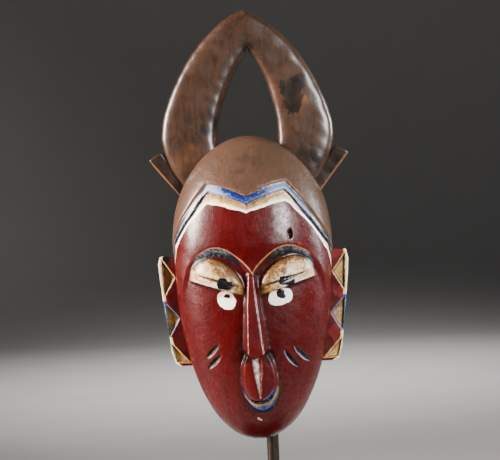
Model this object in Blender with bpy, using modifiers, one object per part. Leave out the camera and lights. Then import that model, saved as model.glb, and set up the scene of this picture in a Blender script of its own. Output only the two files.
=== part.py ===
"""A carved and painted crest mask, hung on the bent rod of a steel display stand.

The mask is one block of wood: a long oval face hollowed from behind, a raised cap of hair with a
zigzag edge, a tall pointed arch of horns, a stub behind each horn and a notched board at each side.
The origin is under the middle of the foot plate, the face looks along -Y and +Z is up.
"""

import math

import bmesh
import bpy
from mathutils import Matrix, Vector

# Driving sizes, in metres
MASK_HEIGHT = 0.400
WALL = 0.011
CHIN_ABOVE_FOOT = 0.110
ROD_DIAMETER = 0.0115
ROD_OFFSET = 0.010
FOOT_WIDTH = 0.160
FOOT_DEPTH = 0.156
FOOT_THICKNESS = 0.008
FOOT_EDGE = 0.0015
SOCKET_DEPTH = 0.006
SOCKET_FIT = 0.0003
REST_GAP = 0.0003

# The carving is laid out in shares of the mask's height: one unit is a four-hundredth of it
U = MASK_HEIGHT / 400.0

# Head: two half ovals in front view, one below the cheeks and one above the temples
CHEEK_LEVEL = 165 * U
TEMPLE_LEVEL = 185 * U
CHEEK_HALF_WIDTH = 73.2 * U
TEMPLE_HALF_WIDTH = 71.5 * U
DOME_RISE = 96 * U
CHIN_SQUARENESS = 2.15
SIDE_DEPTH = 22 * U
CHEEK_BULGE = 50 * U
TEMPLE_BULGE = 53 * U
CHIN_BULGE_SQUARENESS = 2.6
DOME_BULGE_SQUARENESS = 2.2
SECTION_WIDTH_POWER = 2.3
SECTION_DEPTH_POWER = 2.1
HEAD_ROWS = 34
HEAD_COLUMNS = 52
HOLLOW_ROWS = 20
HOLLOW_COLUMNS = 28

# Hair cap and the band under its zigzag edge
HAIR_RISE = 3.0 * U
BAND_RISE = 1.5 * U
HAIRLINE = [(0, 227.5), (35.5, 239.5), (48, 225), (58, 211), (68, 194.5), (72, 186), (74, 173)]
BAND_WIDTH = 6.5 * U
HAIR_FOOT_LEVEL = 173 * U

# Forehead, a raised field that ends in the two brow arcs
FOREHEAD_RISE = 4.0 * U
BROW_SLOPE = 5.5 * U
BROW = [(0, 157), (6, 165), (12, 171.3), (22, 178.6), (33, 181.6), (45, 178.7), (55, 171), (62, 160)]
FOREHEAD_TOP = [(58, 192), (49, 212), (35.5, 233), (0, 223)]

# The nose and mouth stand a little to the right of the middle, more so lower down
FACE_SHIFT = 0.3 * U
FACE_LEAN = 0.05
LEAN_LEVEL = 130 * U

# Eyes: half-oval lids, leaning down to the nose
EYE_INNER = (6.3 * U, 136.6 * U)
EYE_LEAN = math.radians(16.7)
LID_HALF_LENGTH = 26.8 * U
LID_HEIGHT = 24.5 * U
LID_RISE = 8.5 * U
SLIT_LEVEL = 6.8 * U
SLIT_HALF_LENGTH = 22 * U
SLIT_HALF_WIDTH = 1.3 * U

# Nose: a straight wedge with a flat ridge
NOSE_TOP_LEVEL = 158 * U
NOSE_TIP_LEVEL = 82 * U
NOSE_FOOT_LEVEL = 79 * U
NOSE_TOP_RIDGE = 2.3 * U
NOSE_TOP_FOOT = 4.9 * U
NOSE_TIP_RIDGE = 7.7 * U
NOSE_TIP_FOOT = 12.4 * U
NOSE_TOP_RISE = 4.5 * U
NOSE_TIP_RISE = 22 * U
NOSE_SEAT = 4 * U

# Mouth: a board from nose to lower lip, with a groove down it and a curved slit across
MOUTH_BOARD = [(0, 31.5), (6, 33.5), (12, 39), (15.8, 47), (17.2, 58), (16.4, 70), (14.5, 84)]
MOUTH_TOP_RISE = 10 * U
MOUTH_LIP_RISE = 15 * U
MOUTH_EDGE = 3.0 * U
PHILTRUM_TOP = 81 * U
PHILTRUM_FOOT = 45 * U
PHILTRUM_HALF_WIDTH = 3.6 * U
MOUTH_SLIT = [(-17, 51.5), (-12, 45.5), (-6, 42.5), (0, 41.5), (6, 42.5), (12, 45.5), (17, 51.5)]
MOUTH_SLIT_RADIUS = 1.5 * U

# Cheek cuts: middle, and lean from the horizontal in degrees
CHEEK_CUTS = [(-39, 86.5, 46), (-37, 76.5, 47), (33, 77, -54), (42.7, 81, -49)]
CUT_HALF_LENGTH = 10.5 * U
CUT_HALF_WIDTH = 2.0 * U
CUT_DEPTH = 3.0 * U

# Horn arch, half of each outline, from the tip down
ARCH_OUTER = [(0, 401), (11, 396.5), (21, 390), (31, 381.5), (41, 371.5), (50, 360.5), (59, 346.5),
              (67, 331), (74, 315), (78.5, 300), (80.3, 286), (78.5, 272), (73.5, 258), (66, 245),
              (56, 232), (40, 222)]
ARCH_OPENING = [(0, 364), (7, 354), (13, 343), (19, 329), (24, 313), (27.5, 297), (28.5, 284),
                (27, 272), (20, 262)]
ARCH_FRONT = 35 * U
ARCH_THICKNESS = 28 * U
ARCH_EDGE = 6.5 * U

# Stub behind each horn
STUB = [(52, 212), (66, 230), (93.5, 264.5), (91.5, 268.5), (81, 271.5), (56, 240)]
STUB_FRONT = 27 * U
STUB_THICKNESS = 18 * U
STUB_EDGE = 1.6 * U

# Side boards, with three three-cornered pits each: outer top, outer foot, inner point
BOARD = [(64, 176), (87, 175.5), (89, 166), (88, 150), (86, 133), (83.5, 113), (81.5, 97), (80, 84),
         (76.5, 73), (73, 71), (53, 70.5), (58, 84), (63, 105), (65, 135)]
BOARD_FRONT = 24 * U
BOARD_THICKNESS = 19 * U
BOARD_EDGE = 1.0 * U
PITS = [((86, 171), (84, 137), (74.5, 154)),
        ((84, 130), (80.8, 98.5), (71.5, 115)),
        ((80, 92), (74.5, 74), (64, 73.5))]
PIT_DEPTH_OUTER = 5.0 * U
PIT_DEPTH_INNER = 0.8 * U

# Placement: the mask's back plane and chin, the rod and the top of its hook
MASK_DEPTH = SIDE_DEPTH + CHEEK_BULGE + NOSE_TIP_RISE
BACK_PLANE = 0.21 * MASK_DEPTH
CHIN_LEVEL = FOOT_THICKNESS + CHIN_ABOVE_FOOT
ROD_RADIUS = ROD_DIAMETER / 2
ROD_PLANE = BACK_PLANE + REST_GAP + ROD_RADIUS
HOOK_BEND_LEVEL = CHIN_LEVEL + 205 * U
HOOK_REACH = 20 * U
ROD_SIDES_RESOLUTION = 4

PAINTED_WOOD = {"colour": (0.33, 0.022, 0.018), "roughness": 0.42, "metallic": 0.0}
ROD_STEEL = {"colour": (0.30, 0.29, 0.28), "roughness": 0.38, "metallic": 0.9}
FOOT_STEEL = {"colour": (0.03, 0.03, 0.032), "roughness": 0.5, "metallic": 0.6}


def clear_scene():
    for scene_object in list(bpy.data.objects):
        bpy.data.objects.remove(scene_object, do_unlink=True)


def new_collection(name):
    collection = bpy.data.collections.new(name)
    bpy.context.scene.collection.children.link(collection)
    return collection


def new_material(name, finish):
    material = bpy.data.materials.new(name)
    material.use_nodes = True
    shader = material.node_tree.nodes["Principled BSDF"]
    shader.inputs["Base Color"].default_value = (*finish["colour"], 1.0)
    shader.inputs["Roughness"].default_value = finish["roughness"]
    shader.inputs["Metallic"].default_value = finish["metallic"]
    return material


def object_from_bmesh(name, shape, collection):
    mesh = bpy.data.meshes.new(name)
    bmesh.ops.recalc_face_normals(shape, faces=shape.faces)
    shape.to_mesh(mesh)
    shape.free()
    made = bpy.data.objects.new(name, mesh)
    collection.objects.link(made)
    return made


def evaluated_mesh(source):
    bpy.context.view_layer.update()
    graph = bpy.context.evaluated_depsgraph_get()
    return bpy.data.meshes.new_from_object(source.evaluated_get(graph), depsgraph=graph)


def keep_as_cutter(cutter):
    cutter.hide_render = True
    cutter.display_type = "WIRE"


def combine(target, tool, operation, solver="EXACT"):
    """Joins tool to target or cuts it away, and leaves target a plain mesh."""
    step = target.modifiers.new(operation.title(), "BOOLEAN")
    step.operation = operation
    step.solver = solver
    step.object = tool
    result = evaluated_mesh(target)
    target.modifiers.remove(step)
    old = target.data
    target.data = result
    bpy.data.meshes.remove(old)
    tool_mesh = tool.data
    bpy.data.objects.remove(tool, do_unlink=True)
    if tool_mesh.users == 0:
        bpy.data.meshes.remove(tool_mesh)


def smooth_through(points, steps):
    """A smooth line through the points, with steps pieces to each span."""
    ends = [points[0], *points, points[-1]]
    line = []
    for before, start, end, after in zip(ends, ends[1:], ends[2:], ends[3:]):
        for step in range(steps):
            t = step / steps
            line.append(tuple(
                0.5 * (2 * q + (r - p) * t + (2 * p - 5 * q + 4 * r - s) * t * t
                       + (3 * q - p - 3 * r + s) * t ** 3)
                for p, q, r, s in zip(before, start, end, after)))
    line.append(tuple(points[-1]))
    return line


def in_units(points):
    return [(x * U, z * U) for x, z in points]


def mirrored(half):
    """A closed outline from the half at +X that starts, and may end, on the middle line."""
    ends_on_middle = abs(half[-1][0]) < 1e-9
    back = half[1:-1] if ends_on_middle else half[1:]
    return list(half) + [(-x, z) for x, z in reversed(back)]


def half_width(level, inset=0.0):
    """Half the head's width at a level above the chin, on a surface inset from the outer one."""
    if level < CHEEK_LEVEL:
        share = (CHEEK_LEVEL - level) / (CHEEK_LEVEL - inset)
        return (CHEEK_HALF_WIDTH - inset) * max(0.0, 1 - share * share) ** (1 / CHIN_SQUARENESS)
    if level > TEMPLE_LEVEL:
        share = (level - TEMPLE_LEVEL) / (DOME_RISE - inset)
        return (TEMPLE_HALF_WIDTH - inset) * max(0.0, 1 - share * share) ** 0.5
    blend = (level - CHEEK_LEVEL) / (TEMPLE_LEVEL - CHEEK_LEVEL)
    blend = blend * blend * (3 - 2 * blend)
    return CHEEK_HALF_WIDTH + (TEMPLE_HALF_WIDTH - CHEEK_HALF_WIDTH) * blend - inset


def bulge(level, inset=0.0):
    """How far the middle of the face stands forward of the sides at a level above the chin."""
    if level < CHEEK_LEVEL:
        share = (CHEEK_LEVEL - level) / (CHEEK_LEVEL - inset)
        return (CHEEK_BULGE - inset) * max(0.0, 1 - share * share) ** (1 / CHIN_BULGE_SQUARENESS)
    if level > TEMPLE_LEVEL:
        share = (level - TEMPLE_LEVEL) / (DOME_RISE - inset)
        return (TEMPLE_BULGE - inset) * max(0.0, 1 - share * share) ** (1 / DOME_BULGE_SQUARENESS)
    blend = (level - CHEEK_LEVEL) / (TEMPLE_LEVEL - CHEEK_LEVEL)
    blend = blend * blend * (3 - 2 * blend)
    return CHEEK_BULGE + (TEMPLE_BULGE - CHEEK_BULGE) * blend - inset


def face_plane(x, level):
    """Y of the outer face at a point of the front view, with the back plane at 0."""
    width = half_width(level)
    if width <= 0:
        return -SIDE_DEPTH
    share = min(1.0, abs(x) / width)
    swell = (1 - share ** SECTION_WIDTH_POWER) ** (1 / SECTION_DEPTH_POWER)
    return -SIDE_DEPTH - bulge(level) * swell


def lean_at(level):
    """How far the middle of the nose and mouth lies to the right of the head's middle."""
    return FACE_SHIFT + FACE_LEAN * max(0.0, LEAN_LEVEL - level)


def head_form(name, rows, columns, collection, inset=0.0, forward=0.0, back=0.0):
    """The head as a solid: a half globe shaped by the width and the bulge, drawn straight back."""
    shape = bmesh.new()
    bmesh.ops.create_uvsphere(shape, u_segments=2 * columns, v_segments=rows, radius=1.0)
    cut = bmesh.ops.bisect_plane(
        shape, geom=[*shape.verts, *shape.edges, *shape.faces], dist=1e-6,
        plane_co=(0, 0, 0), plane_no=(0, 1, 0), clear_outer=True)
    rim = [edge for edge in cut["geom_cut"] if isinstance(edge, bmesh.types.BMEdge)]
    low = inset
    middle = (CHEEK_LEVEL + TEMPLE_LEVEL) / 2
    high = TEMPLE_LEVEL + DOME_RISE - inset
    for vert in shape.verts:
        across, out, up = vert.co
        level = middle + up * (high - middle if up > 0 else middle - low)
        width = half_width(level, inset)
        depth = bulge(level, inset)
        ring = math.hypot(across, out)
        angle = math.atan2(-out, across) if ring > 1e-9 else math.pi / 2
        side = math.cos(angle)
        front = max(0.0, math.sin(angle))
        x = width * math.copysign(abs(side) ** (2 / SECTION_WIDTH_POWER), side)
        swell = front ** (2 / SECTION_DEPTH_POWER)
        grow = 1 + forward / max(depth, SIDE_DEPTH) if depth > 0 else 1
        vert.co = (x, -SIDE_DEPTH - depth * grow * swell, level)
    wall = bmesh.ops.extrude_edge_only(shape, edges=rim)
    for vert in wall["geom"]:
        if isinstance(vert, bmesh.types.BMVert):
            vert.co.y = back
    rear = [edge for edge in shape.edges if edge.is_boundary]
    bmesh.ops.holes_fill(shape, edges=rear, sides=0)
    return object_from_bmesh(name, shape, collection)


def flat_shape(name, outlines, half_thickness, collection, slope=0.0):
    """A flat outline, or an outline with a hole, filled and thickened, facing -Y."""
    curve = bpy.data.curves.new(name, "CURVE")
    curve.dimensions = "2D"
    curve.fill_mode = "BOTH"
    curve.extrude = half_thickness
    curve.bevel_depth = slope
    curve.bevel_resolution = 0
    for outline in outlines:
        spline = curve.splines.new("POLY")
        spline.points.add(len(outline) - 1)
        for point, (x, z) in zip(spline.points, outline):
            point.co = (x, z, 0, 1)
        spline.use_cyclic_u = True
    drawn = bpy.data.objects.new(name, curve)
    collection.objects.link(drawn)
    shape = bmesh.new()
    mesh = evaluated_mesh(drawn)
    shape.from_mesh(mesh)
    bpy.data.objects.remove(drawn, do_unlink=True)
    bpy.data.curves.remove(curve)
    bpy.data.meshes.remove(mesh)
    bmesh.ops.remove_doubles(shape, verts=shape.verts, dist=1e-6)
    bmesh.ops.dissolve_limit(shape, angle_limit=math.radians(0.5), verts=shape.verts,
                             edges=shape.edges, delimit=set())
    bmesh.ops.transform(shape, matrix=Matrix.Rotation(math.radians(90), 4, "X"), verts=shape.verts)
    return object_from_bmesh(name, shape, collection)


def bevel_corners(target, width, segments):
    """Takes the sharp edges off a flat shape."""
    step = target.modifiers.new("Edge", "BEVEL")
    step.width = width
    step.segments = segments
    step.limit_method = "ANGLE"
    step.angle_limit = math.radians(50)
    result = evaluated_mesh(target)
    target.modifiers.remove(step)
    target.data = result


def slice_across(shape, spacing):
    """Cuts a flat shape along a lattice in X and Z, so that it can follow the face."""
    for axis in (0, 2):
        low = min(vert.co[axis] for vert in shape.verts)
        high = max(vert.co[axis] for vert in shape.verts)
        count = max(1, round((high - low) / spacing))
        normal = Vector((1, 0, 0)) if axis == 0 else Vector((0, 0, 1))
        for index in range(1, count):
            place = low + (high - low) * index / count
            bmesh.ops.bisect_plane(
                shape, geom=[*shape.verts, *shape.edges, *shape.faces], dist=1e-6,
                plane_co=normal * place, plane_no=normal)


def press_onto_face(target, spacing=None, leaning=False):
    """Bends a shape modelled on the plane Y = 0 so that it follows the face."""
    shape = bmesh.new()
    shape.from_mesh(target.data)
    if spacing:
        slice_across(shape, spacing)
    bmesh.ops.triangulate(shape, faces=shape.faces)
    for vert in shape.verts:
        if leaning:
            vert.co.x += lean_at(vert.co.z)
        vert.co.y += face_plane(vert.co.x, vert.co.z)
    shape.to_mesh(target.data)
    shape.free()


def front_prism(name, outline, collection):
    """A prism through the whole head from front to back, to cut a field out of a head form."""
    prism = flat_shape(name, [outline], MASK_DEPTH, collection)
    return prism


def hairline_at(drop):
    """Half of the zigzag edge of the hair, moved down towards the face by drop."""
    points = in_units(HAIRLINE)
    moved = []
    for index, (x, z) in enumerate(points):
        before = points[max(0, index - 1)]
        after = points[min(len(points) - 1, index + 1)]
        along = Vector((after[0] - before[0], after[1] - before[1])).normalized()
        if index == 0:
            moved.append((0.0, z - drop))
        elif index == 1:
            moved.append((x - 0.25 * drop, z - drop))
        else:
            moved.append((x + along.y * drop, z - along.x * drop))
    return moved


def hair_region(drop):
    """The front outline of everything above the hairline, as wide as the whole head and more."""
    edge = hairline_at(drop)
    beyond = 100 * U
    top = 300 * U
    foot = HAIR_FOOT_LEVEL - drop / 3
    right = [*edge, (edge[-1][0] + 4 * U, foot), (beyond, foot), (beyond, top)]
    return right + [(-x, z) for x, z in reversed(right[1:])]


def hair_layer(name, rise, drop, collection):
    """A skin over the upper head, raised all round, that ends at the hairline moved down by drop."""
    layer = head_form(name, HEAD_ROWS, HEAD_COLUMNS // 2, collection,
                      inset=-rise, forward=FOREHEAD_RISE, back=-rise)
    combine(layer, front_prism(name + "_field", hair_region(drop), collection), "INTERSECT")
    return layer


def forehead(collection):
    """The raised field between the hairline and the brow arcs, with a slope down to the eyes."""
    arcs = smooth_through(in_units(BROW), 4)
    top = in_units(FOREHEAD_TOP)
    outline = mirrored([*arcs, *top])
    field = flat_shape("forehead", [outline], FOREHEAD_RISE, collection, slope=BROW_SLOPE)
    for vert in field.data.vertices:
        height = -vert.co.y - FOREHEAD_RISE
        vert.co.y = -(height * FOREHEAD_RISE / BROW_SLOPE if height > 0 else height)
    press_onto_face(field, spacing=9 * U)
    return field


def eye_place(side):
    """Turns the eye's own frame, with its lower edge along X, onto one side of the face."""
    lean = EYE_LEAN if side > 0 else math.pi - EYE_LEAN
    along = Vector((math.cos(lean), 0, math.sin(lean)))
    up = Vector((-math.sin(lean), 0, math.cos(lean))) * side
    inner = Vector((side * EYE_INNER[0] + FACE_SHIFT, 0, EYE_INNER[1]))
    middle = inner + along * LID_HALF_LENGTH
    place = Matrix.Identity(4)
    for row in range(3):
        place[row][0] = along[row]
        place[row][1] = (0, 1, 0)[row]
        place[row][2] = up[row]
        place[row][3] = middle[row]
    return place


def eyelids(side, collection):
    """Both lids of one eye as one bulging half oval, flat below, parted by a narrow slit."""
    shape = bmesh.new()
    bmesh.ops.create_uvsphere(shape, u_segments=20, v_segments=12, radius=1.0)
    sink = 2 * U
    bmesh.ops.scale(shape, vec=(LID_HALF_LENGTH, LID_RISE + sink, LID_HEIGHT), verts=shape.verts)
    bmesh.ops.translate(shape, vec=(0, sink, 0), verts=shape.verts)
    cut = bmesh.ops.bisect_plane(
        shape, geom=[*shape.verts, *shape.edges, *shape.faces], dist=1e-6,
        plane_co=(0, 0, 0.2 * U), plane_no=(0, 0, -1), clear_outer=True)
    rim = [edge for edge in cut["geom_cut"] if isinstance(edge, bmesh.types.BMEdge)]
    bmesh.ops.holes_fill(shape, edges=rim, sides=0)
    lids = object_from_bmesh("lids", shape, collection)
    slit = bmesh.new()
    bmesh.ops.create_uvsphere(slit, u_segments=16, v_segments=6, radius=1.0)
    bmesh.ops.scale(slit, vec=(SLIT_HALF_LENGTH, 4 * U, SLIT_HALF_WIDTH), verts=slit.verts)
    bmesh.ops.translate(slit, vec=(0, -LID_RISE * 0.86, SLIT_LEVEL), verts=slit.verts)
    combine(lids, object_from_bmesh("slit", slit, collection), "DIFFERENCE")
    lids.data.transform(eye_place(side))
    press_onto_face(lids)
    shape = bmesh.new()
    shape.from_mesh(lids.data)
    bmesh.ops.recalc_face_normals(shape, faces=shape.faces)
    shape.to_mesh(lids.data)
    shape.free()
    return lids


def nose(collection):
    """A wedge that widens downwards, with a flat ridge, straight flanks and a level foot."""
    shape = bmesh.new()
    bmesh.ops.create_cube(shape, size=2.0)
    for vert in shape.verts:
        side = math.copysign(1, vert.co.x)
        is_top = vert.co.z > 0
        is_ridge = vert.co.y < 0
        rise = NOSE_TOP_RISE if is_top else NOSE_TIP_RISE
        ridge = NOSE_TOP_RIDGE if is_top else NOSE_TIP_RIDGE
        foot = NOSE_TOP_FOOT if is_top else NOSE_TIP_FOOT
        level = NOSE_TOP_LEVEL if is_top else NOSE_TIP_LEVEL if is_ridge else NOSE_FOOT_LEVEL
        half = ridge if is_ridge else foot + (foot - ridge) * NOSE_SEAT / rise
        plane = face_plane(0, level) + (-rise if is_ridge else NOSE_SEAT)
        vert.co = (lean_at(level) + side * half, plane, level)
    ridge_edges = [edge for edge in shape.edges
                   if abs(edge.verts[0].co.z - edge.verts[1].co.z) > NOSE_TIP_RISE
                   and all(vert.co.y < face_plane(0, vert.co.z) for vert in edge.verts)]
    bmesh.ops.bevel(shape, geom=ridge_edges, offset=NOSE_TOP_RIDGE / 3, segments=2, affect="EDGES")
    return object_from_bmesh("nose", shape, collection)


def mouth_rise(level):
    """How far the mouth's board stands off the face, more at the lip than under the nose."""
    lip = MOUTH_BOARD[0][1] * U
    top = MOUTH_BOARD[-1][1] * U
    share = (top - level) / (top - lip)
    return MOUTH_TOP_RISE + (MOUTH_LIP_RISE - MOUTH_TOP_RISE) * share


def mouth(collection):
    """The board from nose to lower lip, grooved down the middle and slit across in a curve."""
    outline = mirrored(smooth_through(in_units(MOUTH_BOARD), 2))
    board = flat_shape("mouth", [outline], MOUTH_LIP_RISE - MOUTH_EDGE, collection,
                       slope=MOUTH_EDGE)
    shape = bmesh.new()
    shape.from_mesh(board.data)
    slice_across(shape, 8 * U)
    for vert in shape.verts:
        if vert.co.y < 0:
            vert.co.y *= mouth_rise(vert.co.z) / MOUTH_LIP_RISE
    shape.to_mesh(board.data)
    shape.free()
    press_onto_face(board, leaning=True)
    groove = bmesh.new()
    bmesh.ops.create_cone(groove, cap_ends=True, segments=4, radius1=PHILTRUM_HALF_WIDTH * 1.8,
                          radius2=PHILTRUM_HALF_WIDTH * 2.3, depth=PHILTRUM_TOP - PHILTRUM_FOOT)
    for vert in groove.verts:
        level = vert.co.z + (PHILTRUM_TOP + PHILTRUM_FOOT) / 2
        front = face_plane(0, level) - mouth_rise(level)
        plane = front - 1.2 * PHILTRUM_HALF_WIDTH + vert.co.y
        vert.co = (vert.co.x + lean_at(level), plane, level)
    combine(board, object_from_bmesh("groove", groove, collection), "DIFFERENCE")
    line = [Vector((x + lean_at(z), face_plane(x, z) - mouth_rise(z), z))
            for x, z in smooth_through(in_units(MOUTH_SLIT), 2)]
    combine(board, tube("mouth_slit", line, MOUTH_SLIT_RADIUS, 1, collection), "DIFFERENCE")
    return board


def tube(name, line, radius, resolution, collection):
    """A round bar along a line of points."""
    curve = bpy.data.curves.new(name, "CURVE")
    curve.dimensions = "3D"
    curve.bevel_depth = radius
    curve.bevel_resolution = resolution
    curve.use_fill_caps = True
    spline = curve.splines.new("POLY")
    spline.points.add(len(line) - 1)
    for point, place in zip(spline.points, line):
        point.co = (*place, 1)
    drawn = bpy.data.objects.new(name, curve)
    collection.objects.link(drawn)
    mesh = evaluated_mesh(drawn)
    bpy.data.objects.remove(drawn, do_unlink=True)
    bpy.data.curves.remove(curve)
    shape = bmesh.new()
    shape.from_mesh(mesh)
    bpy.data.meshes.remove(mesh)
    bmesh.ops.remove_doubles(shape, verts=shape.verts, dist=1e-6)
    return object_from_bmesh(name, shape, collection)


def cheek_cut(place, collection):
    """A spindle that scoops one cut out of a cheek."""
    x, z, lean = place
    shape = bmesh.new()
    bmesh.ops.create_uvsphere(shape, u_segments=12, v_segments=6, radius=1.0)
    bmesh.ops.scale(shape, vec=(CUT_HALF_LENGTH, CUT_DEPTH, CUT_HALF_WIDTH), verts=shape.verts)
    turn = Matrix.Rotation(-math.radians(lean), 4, "Y")
    bmesh.ops.transform(shape, matrix=Matrix.Translation((x * U, 0, z * U)) @ turn, verts=shape.verts)
    cut = object_from_bmesh("cheek_cut", shape, collection)
    press_onto_face(cut)
    return cut


def horn_arch(collection):
    """Two flat horns that meet in a point, round a see-through opening."""
    outer = mirrored(in_units(ARCH_OUTER))
    opening = mirrored(smooth_through(in_units(ARCH_OPENING), 2))
    arch = flat_shape("horn_arch", [outer, opening], ARCH_THICKNESS / 2, collection)
    bevel_corners(arch, ARCH_EDGE, 2)
    arch.data.transform(Matrix.Translation((0, ARCH_THICKNESS / 2 - ARCH_FRONT, 0)))
    return arch


def horn_stub(side, collection):
    """A short flat bar that points up and out behind a horn."""
    outline = [(side * x, z) for x, z in in_units(STUB)]
    stub = flat_shape("horn_stub", [outline], STUB_THICKNESS / 2, collection)
    bevel_corners(stub, STUB_EDGE, 1)
    stub.data.transform(Matrix.Translation((0, STUB_THICKNESS / 2 - STUB_FRONT, 0)))
    return stub


def pit(corners, side, collection):
    """A three-cornered cutter whose floor slopes down towards the board's outer edge."""
    outline = [(side * x * U, z * U) for x, z in corners]
    proud = 2 * U
    cutter = flat_shape("pit", [outline], proud, collection)
    inner = min(abs(x) for x, z in outline)
    outer = max(abs(x) for x, z in outline)
    for vert in cutter.data.vertices:
        share = (abs(vert.co.x) - inner) / (outer - inner)
        floor = PIT_DEPTH_INNER + (PIT_DEPTH_OUTER - PIT_DEPTH_INNER) * share
        vert.co.y = -BOARD_FRONT + (floor if vert.co.y > 0 else -proud)
    return cutter


def side_board(side, collection):
    """The flat board at one side of the face, with its row of pits."""
    outline = [(side * x, z) for x, z in in_units(BOARD)]
    board = flat_shape("side_board", [outline], BOARD_THICKNESS / 2, collection)
    bevel_corners(board, BOARD_EDGE, 1)
    board.data.transform(Matrix.Translation((0, BOARD_THICKNESS / 2 - BOARD_FRONT, 0)))
    for corners in PITS:
        combine(board, pit(corners, side, collection), "DIFFERENCE")
    return board


def carve_mask(collection, material):
    """The whole mask as one solid, chin at the origin, then moved to its place on the stand."""
    mask = head_form("mask", HEAD_ROWS, HEAD_COLUMNS // 2, collection)
    additions = [nose(collection), mouth(collection), forehead(collection),
                 hair_layer("band", BAND_RISE, BAND_WIDTH, collection),
                 hair_layer("hair", HAIR_RISE, 0.0, collection),
                 horn_arch(collection)]
    for side in (-1, 1):
        additions += [horn_stub(side, collection), side_board(side, collection),
                      eyelids(side, collection)]
    for addition in additions:
        combine(mask, addition, "UNION")
    for place in CHEEK_CUTS:
        combine(mask, cheek_cut(place, collection), "DIFFERENCE")
    hollow = head_form("hollow", HOLLOW_ROWS, HOLLOW_COLUMNS // 2, collection,
                       inset=WALL, back=SIDE_DEPTH)
    combine(mask, hollow, "DIFFERENCE")
    mask.data.transform(Matrix.Translation((0, BACK_PLANE, CHIN_LEVEL)))
    mask.data.materials.clear()
    mask.data.materials.append(material)
    mask.data.shade_smooth()
    mask.data.set_sharp_from_angle(angle=math.radians(35))
    return mask


def hollow_ceiling(x):
    """Level of the hollow's highest point straight above a place off the middle."""
    wide = TEMPLE_HALF_WIDTH - WALL
    return TEMPLE_LEVEL + (DOME_RISE - WALL) * math.sqrt(1 - (x / wide) ** 2)


def stand_rod(collection, material):
    """A straight rod behind the chin whose top bends forward and up, to hang the mask from."""
    tip_plane = BACK_PLANE - HOOK_REACH
    tip_level = CHIN_LEVEL + hollow_ceiling(abs(ROD_OFFSET) + ROD_RADIUS) - REST_GAP
    foot_level = FOOT_THICKNESS - SOCKET_DEPTH + REST_GAP
    rise = tip_level - HOOK_BEND_LEVEL
    line = [Vector((ROD_OFFSET, ROD_PLANE, foot_level)),
            Vector((ROD_OFFSET, ROD_PLANE, HOOK_BEND_LEVEL))]
    steps = 10
    for step in range(1, steps + 1):
        share = step / steps
        ease = share * share * (3 - 2 * share)
        plane = ROD_PLANE + (tip_plane - ROD_PLANE) * ease
        line.append(Vector((ROD_OFFSET, plane, HOOK_BEND_LEVEL + rise * 0.85 * share)))
    line.append(Vector((ROD_OFFSET, tip_plane, tip_level)))
    rod = tube("stand_rod", line, ROD_RADIUS, ROD_SIDES_RESOLUTION, collection)
    rod.data.materials.append(material)
    rod.data.shade_smooth()
    rod.data.set_sharp_from_angle(angle=math.radians(40))
    return rod


def foot_plate(collection, material):
    """The flat plate the stand rests on, with a socket for the rod."""
    shape = bmesh.new()
    bmesh.ops.create_cube(shape, size=1.0)
    bmesh.ops.scale(shape, vec=(FOOT_WIDTH, FOOT_DEPTH, FOOT_THICKNESS), verts=shape.verts)
    bmesh.ops.translate(shape, vec=(ROD_OFFSET, 0, FOOT_THICKNESS / 2), verts=shape.verts)
    upper = [edge for edge in shape.edges
             if any(vert.co.z > FOOT_THICKNESS / 2 for vert in edge.verts)]
    bmesh.ops.bevel(shape, geom=upper, offset=FOOT_EDGE, segments=2, affect="EDGES")
    plate = object_from_bmesh("foot_plate", shape, collection)
    socket = bmesh.new()
    bmesh.ops.create_cone(socket, cap_ends=True, segments=24, radius1=ROD_RADIUS + SOCKET_FIT,
                          radius2=ROD_RADIUS + SOCKET_FIT, depth=2 * SOCKET_DEPTH)
    bmesh.ops.translate(socket, vec=(ROD_OFFSET, ROD_PLANE, FOOT_THICKNESS), verts=socket.verts)
    combine(plate, object_from_bmesh("socket", socket, collection), "DIFFERENCE")
    plate.data.materials.append(material)
    return plate


def main():
    clear_scene()
    collection = new_collection("Crest mask on stand")
    carve_mask(collection, new_material("painted_wood", PAINTED_WOOD))
    stand_rod(collection, new_material("rod_steel", ROD_STEEL))
    foot_plate(collection, new_material("foot_steel", FOOT_STEEL))


main()
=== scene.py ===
"""Looks for the crest mask: the carved and painted wood, the rod it hangs on and the foot plate."""

import math

import bpy
import numpy as np
from mathutils import Matrix, Vector


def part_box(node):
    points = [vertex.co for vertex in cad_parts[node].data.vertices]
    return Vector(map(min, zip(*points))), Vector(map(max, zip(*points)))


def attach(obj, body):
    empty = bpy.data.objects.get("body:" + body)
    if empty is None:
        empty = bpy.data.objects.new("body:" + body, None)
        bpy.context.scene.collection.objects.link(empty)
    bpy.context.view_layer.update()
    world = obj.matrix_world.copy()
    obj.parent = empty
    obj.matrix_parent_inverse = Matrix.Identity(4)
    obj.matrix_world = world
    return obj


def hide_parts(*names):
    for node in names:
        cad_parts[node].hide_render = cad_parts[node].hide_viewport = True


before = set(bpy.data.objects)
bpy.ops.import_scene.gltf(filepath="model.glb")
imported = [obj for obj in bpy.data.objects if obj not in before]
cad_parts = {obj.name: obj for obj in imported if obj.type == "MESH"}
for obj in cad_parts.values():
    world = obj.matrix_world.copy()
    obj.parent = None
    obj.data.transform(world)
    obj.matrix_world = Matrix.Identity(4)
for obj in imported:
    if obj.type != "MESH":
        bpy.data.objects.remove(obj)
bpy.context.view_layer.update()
mask_low, mask_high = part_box("mask")
rod_low, rod_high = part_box("stand_rod")
foot_low, foot_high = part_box("foot_plate")

# The carving is laid out in millimetres on a mask 400 mm tall, from the chin up and from the back plane
# forward
MM = 0.001
CHIN = mask_low.z
BACK = mask_high.y

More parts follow.
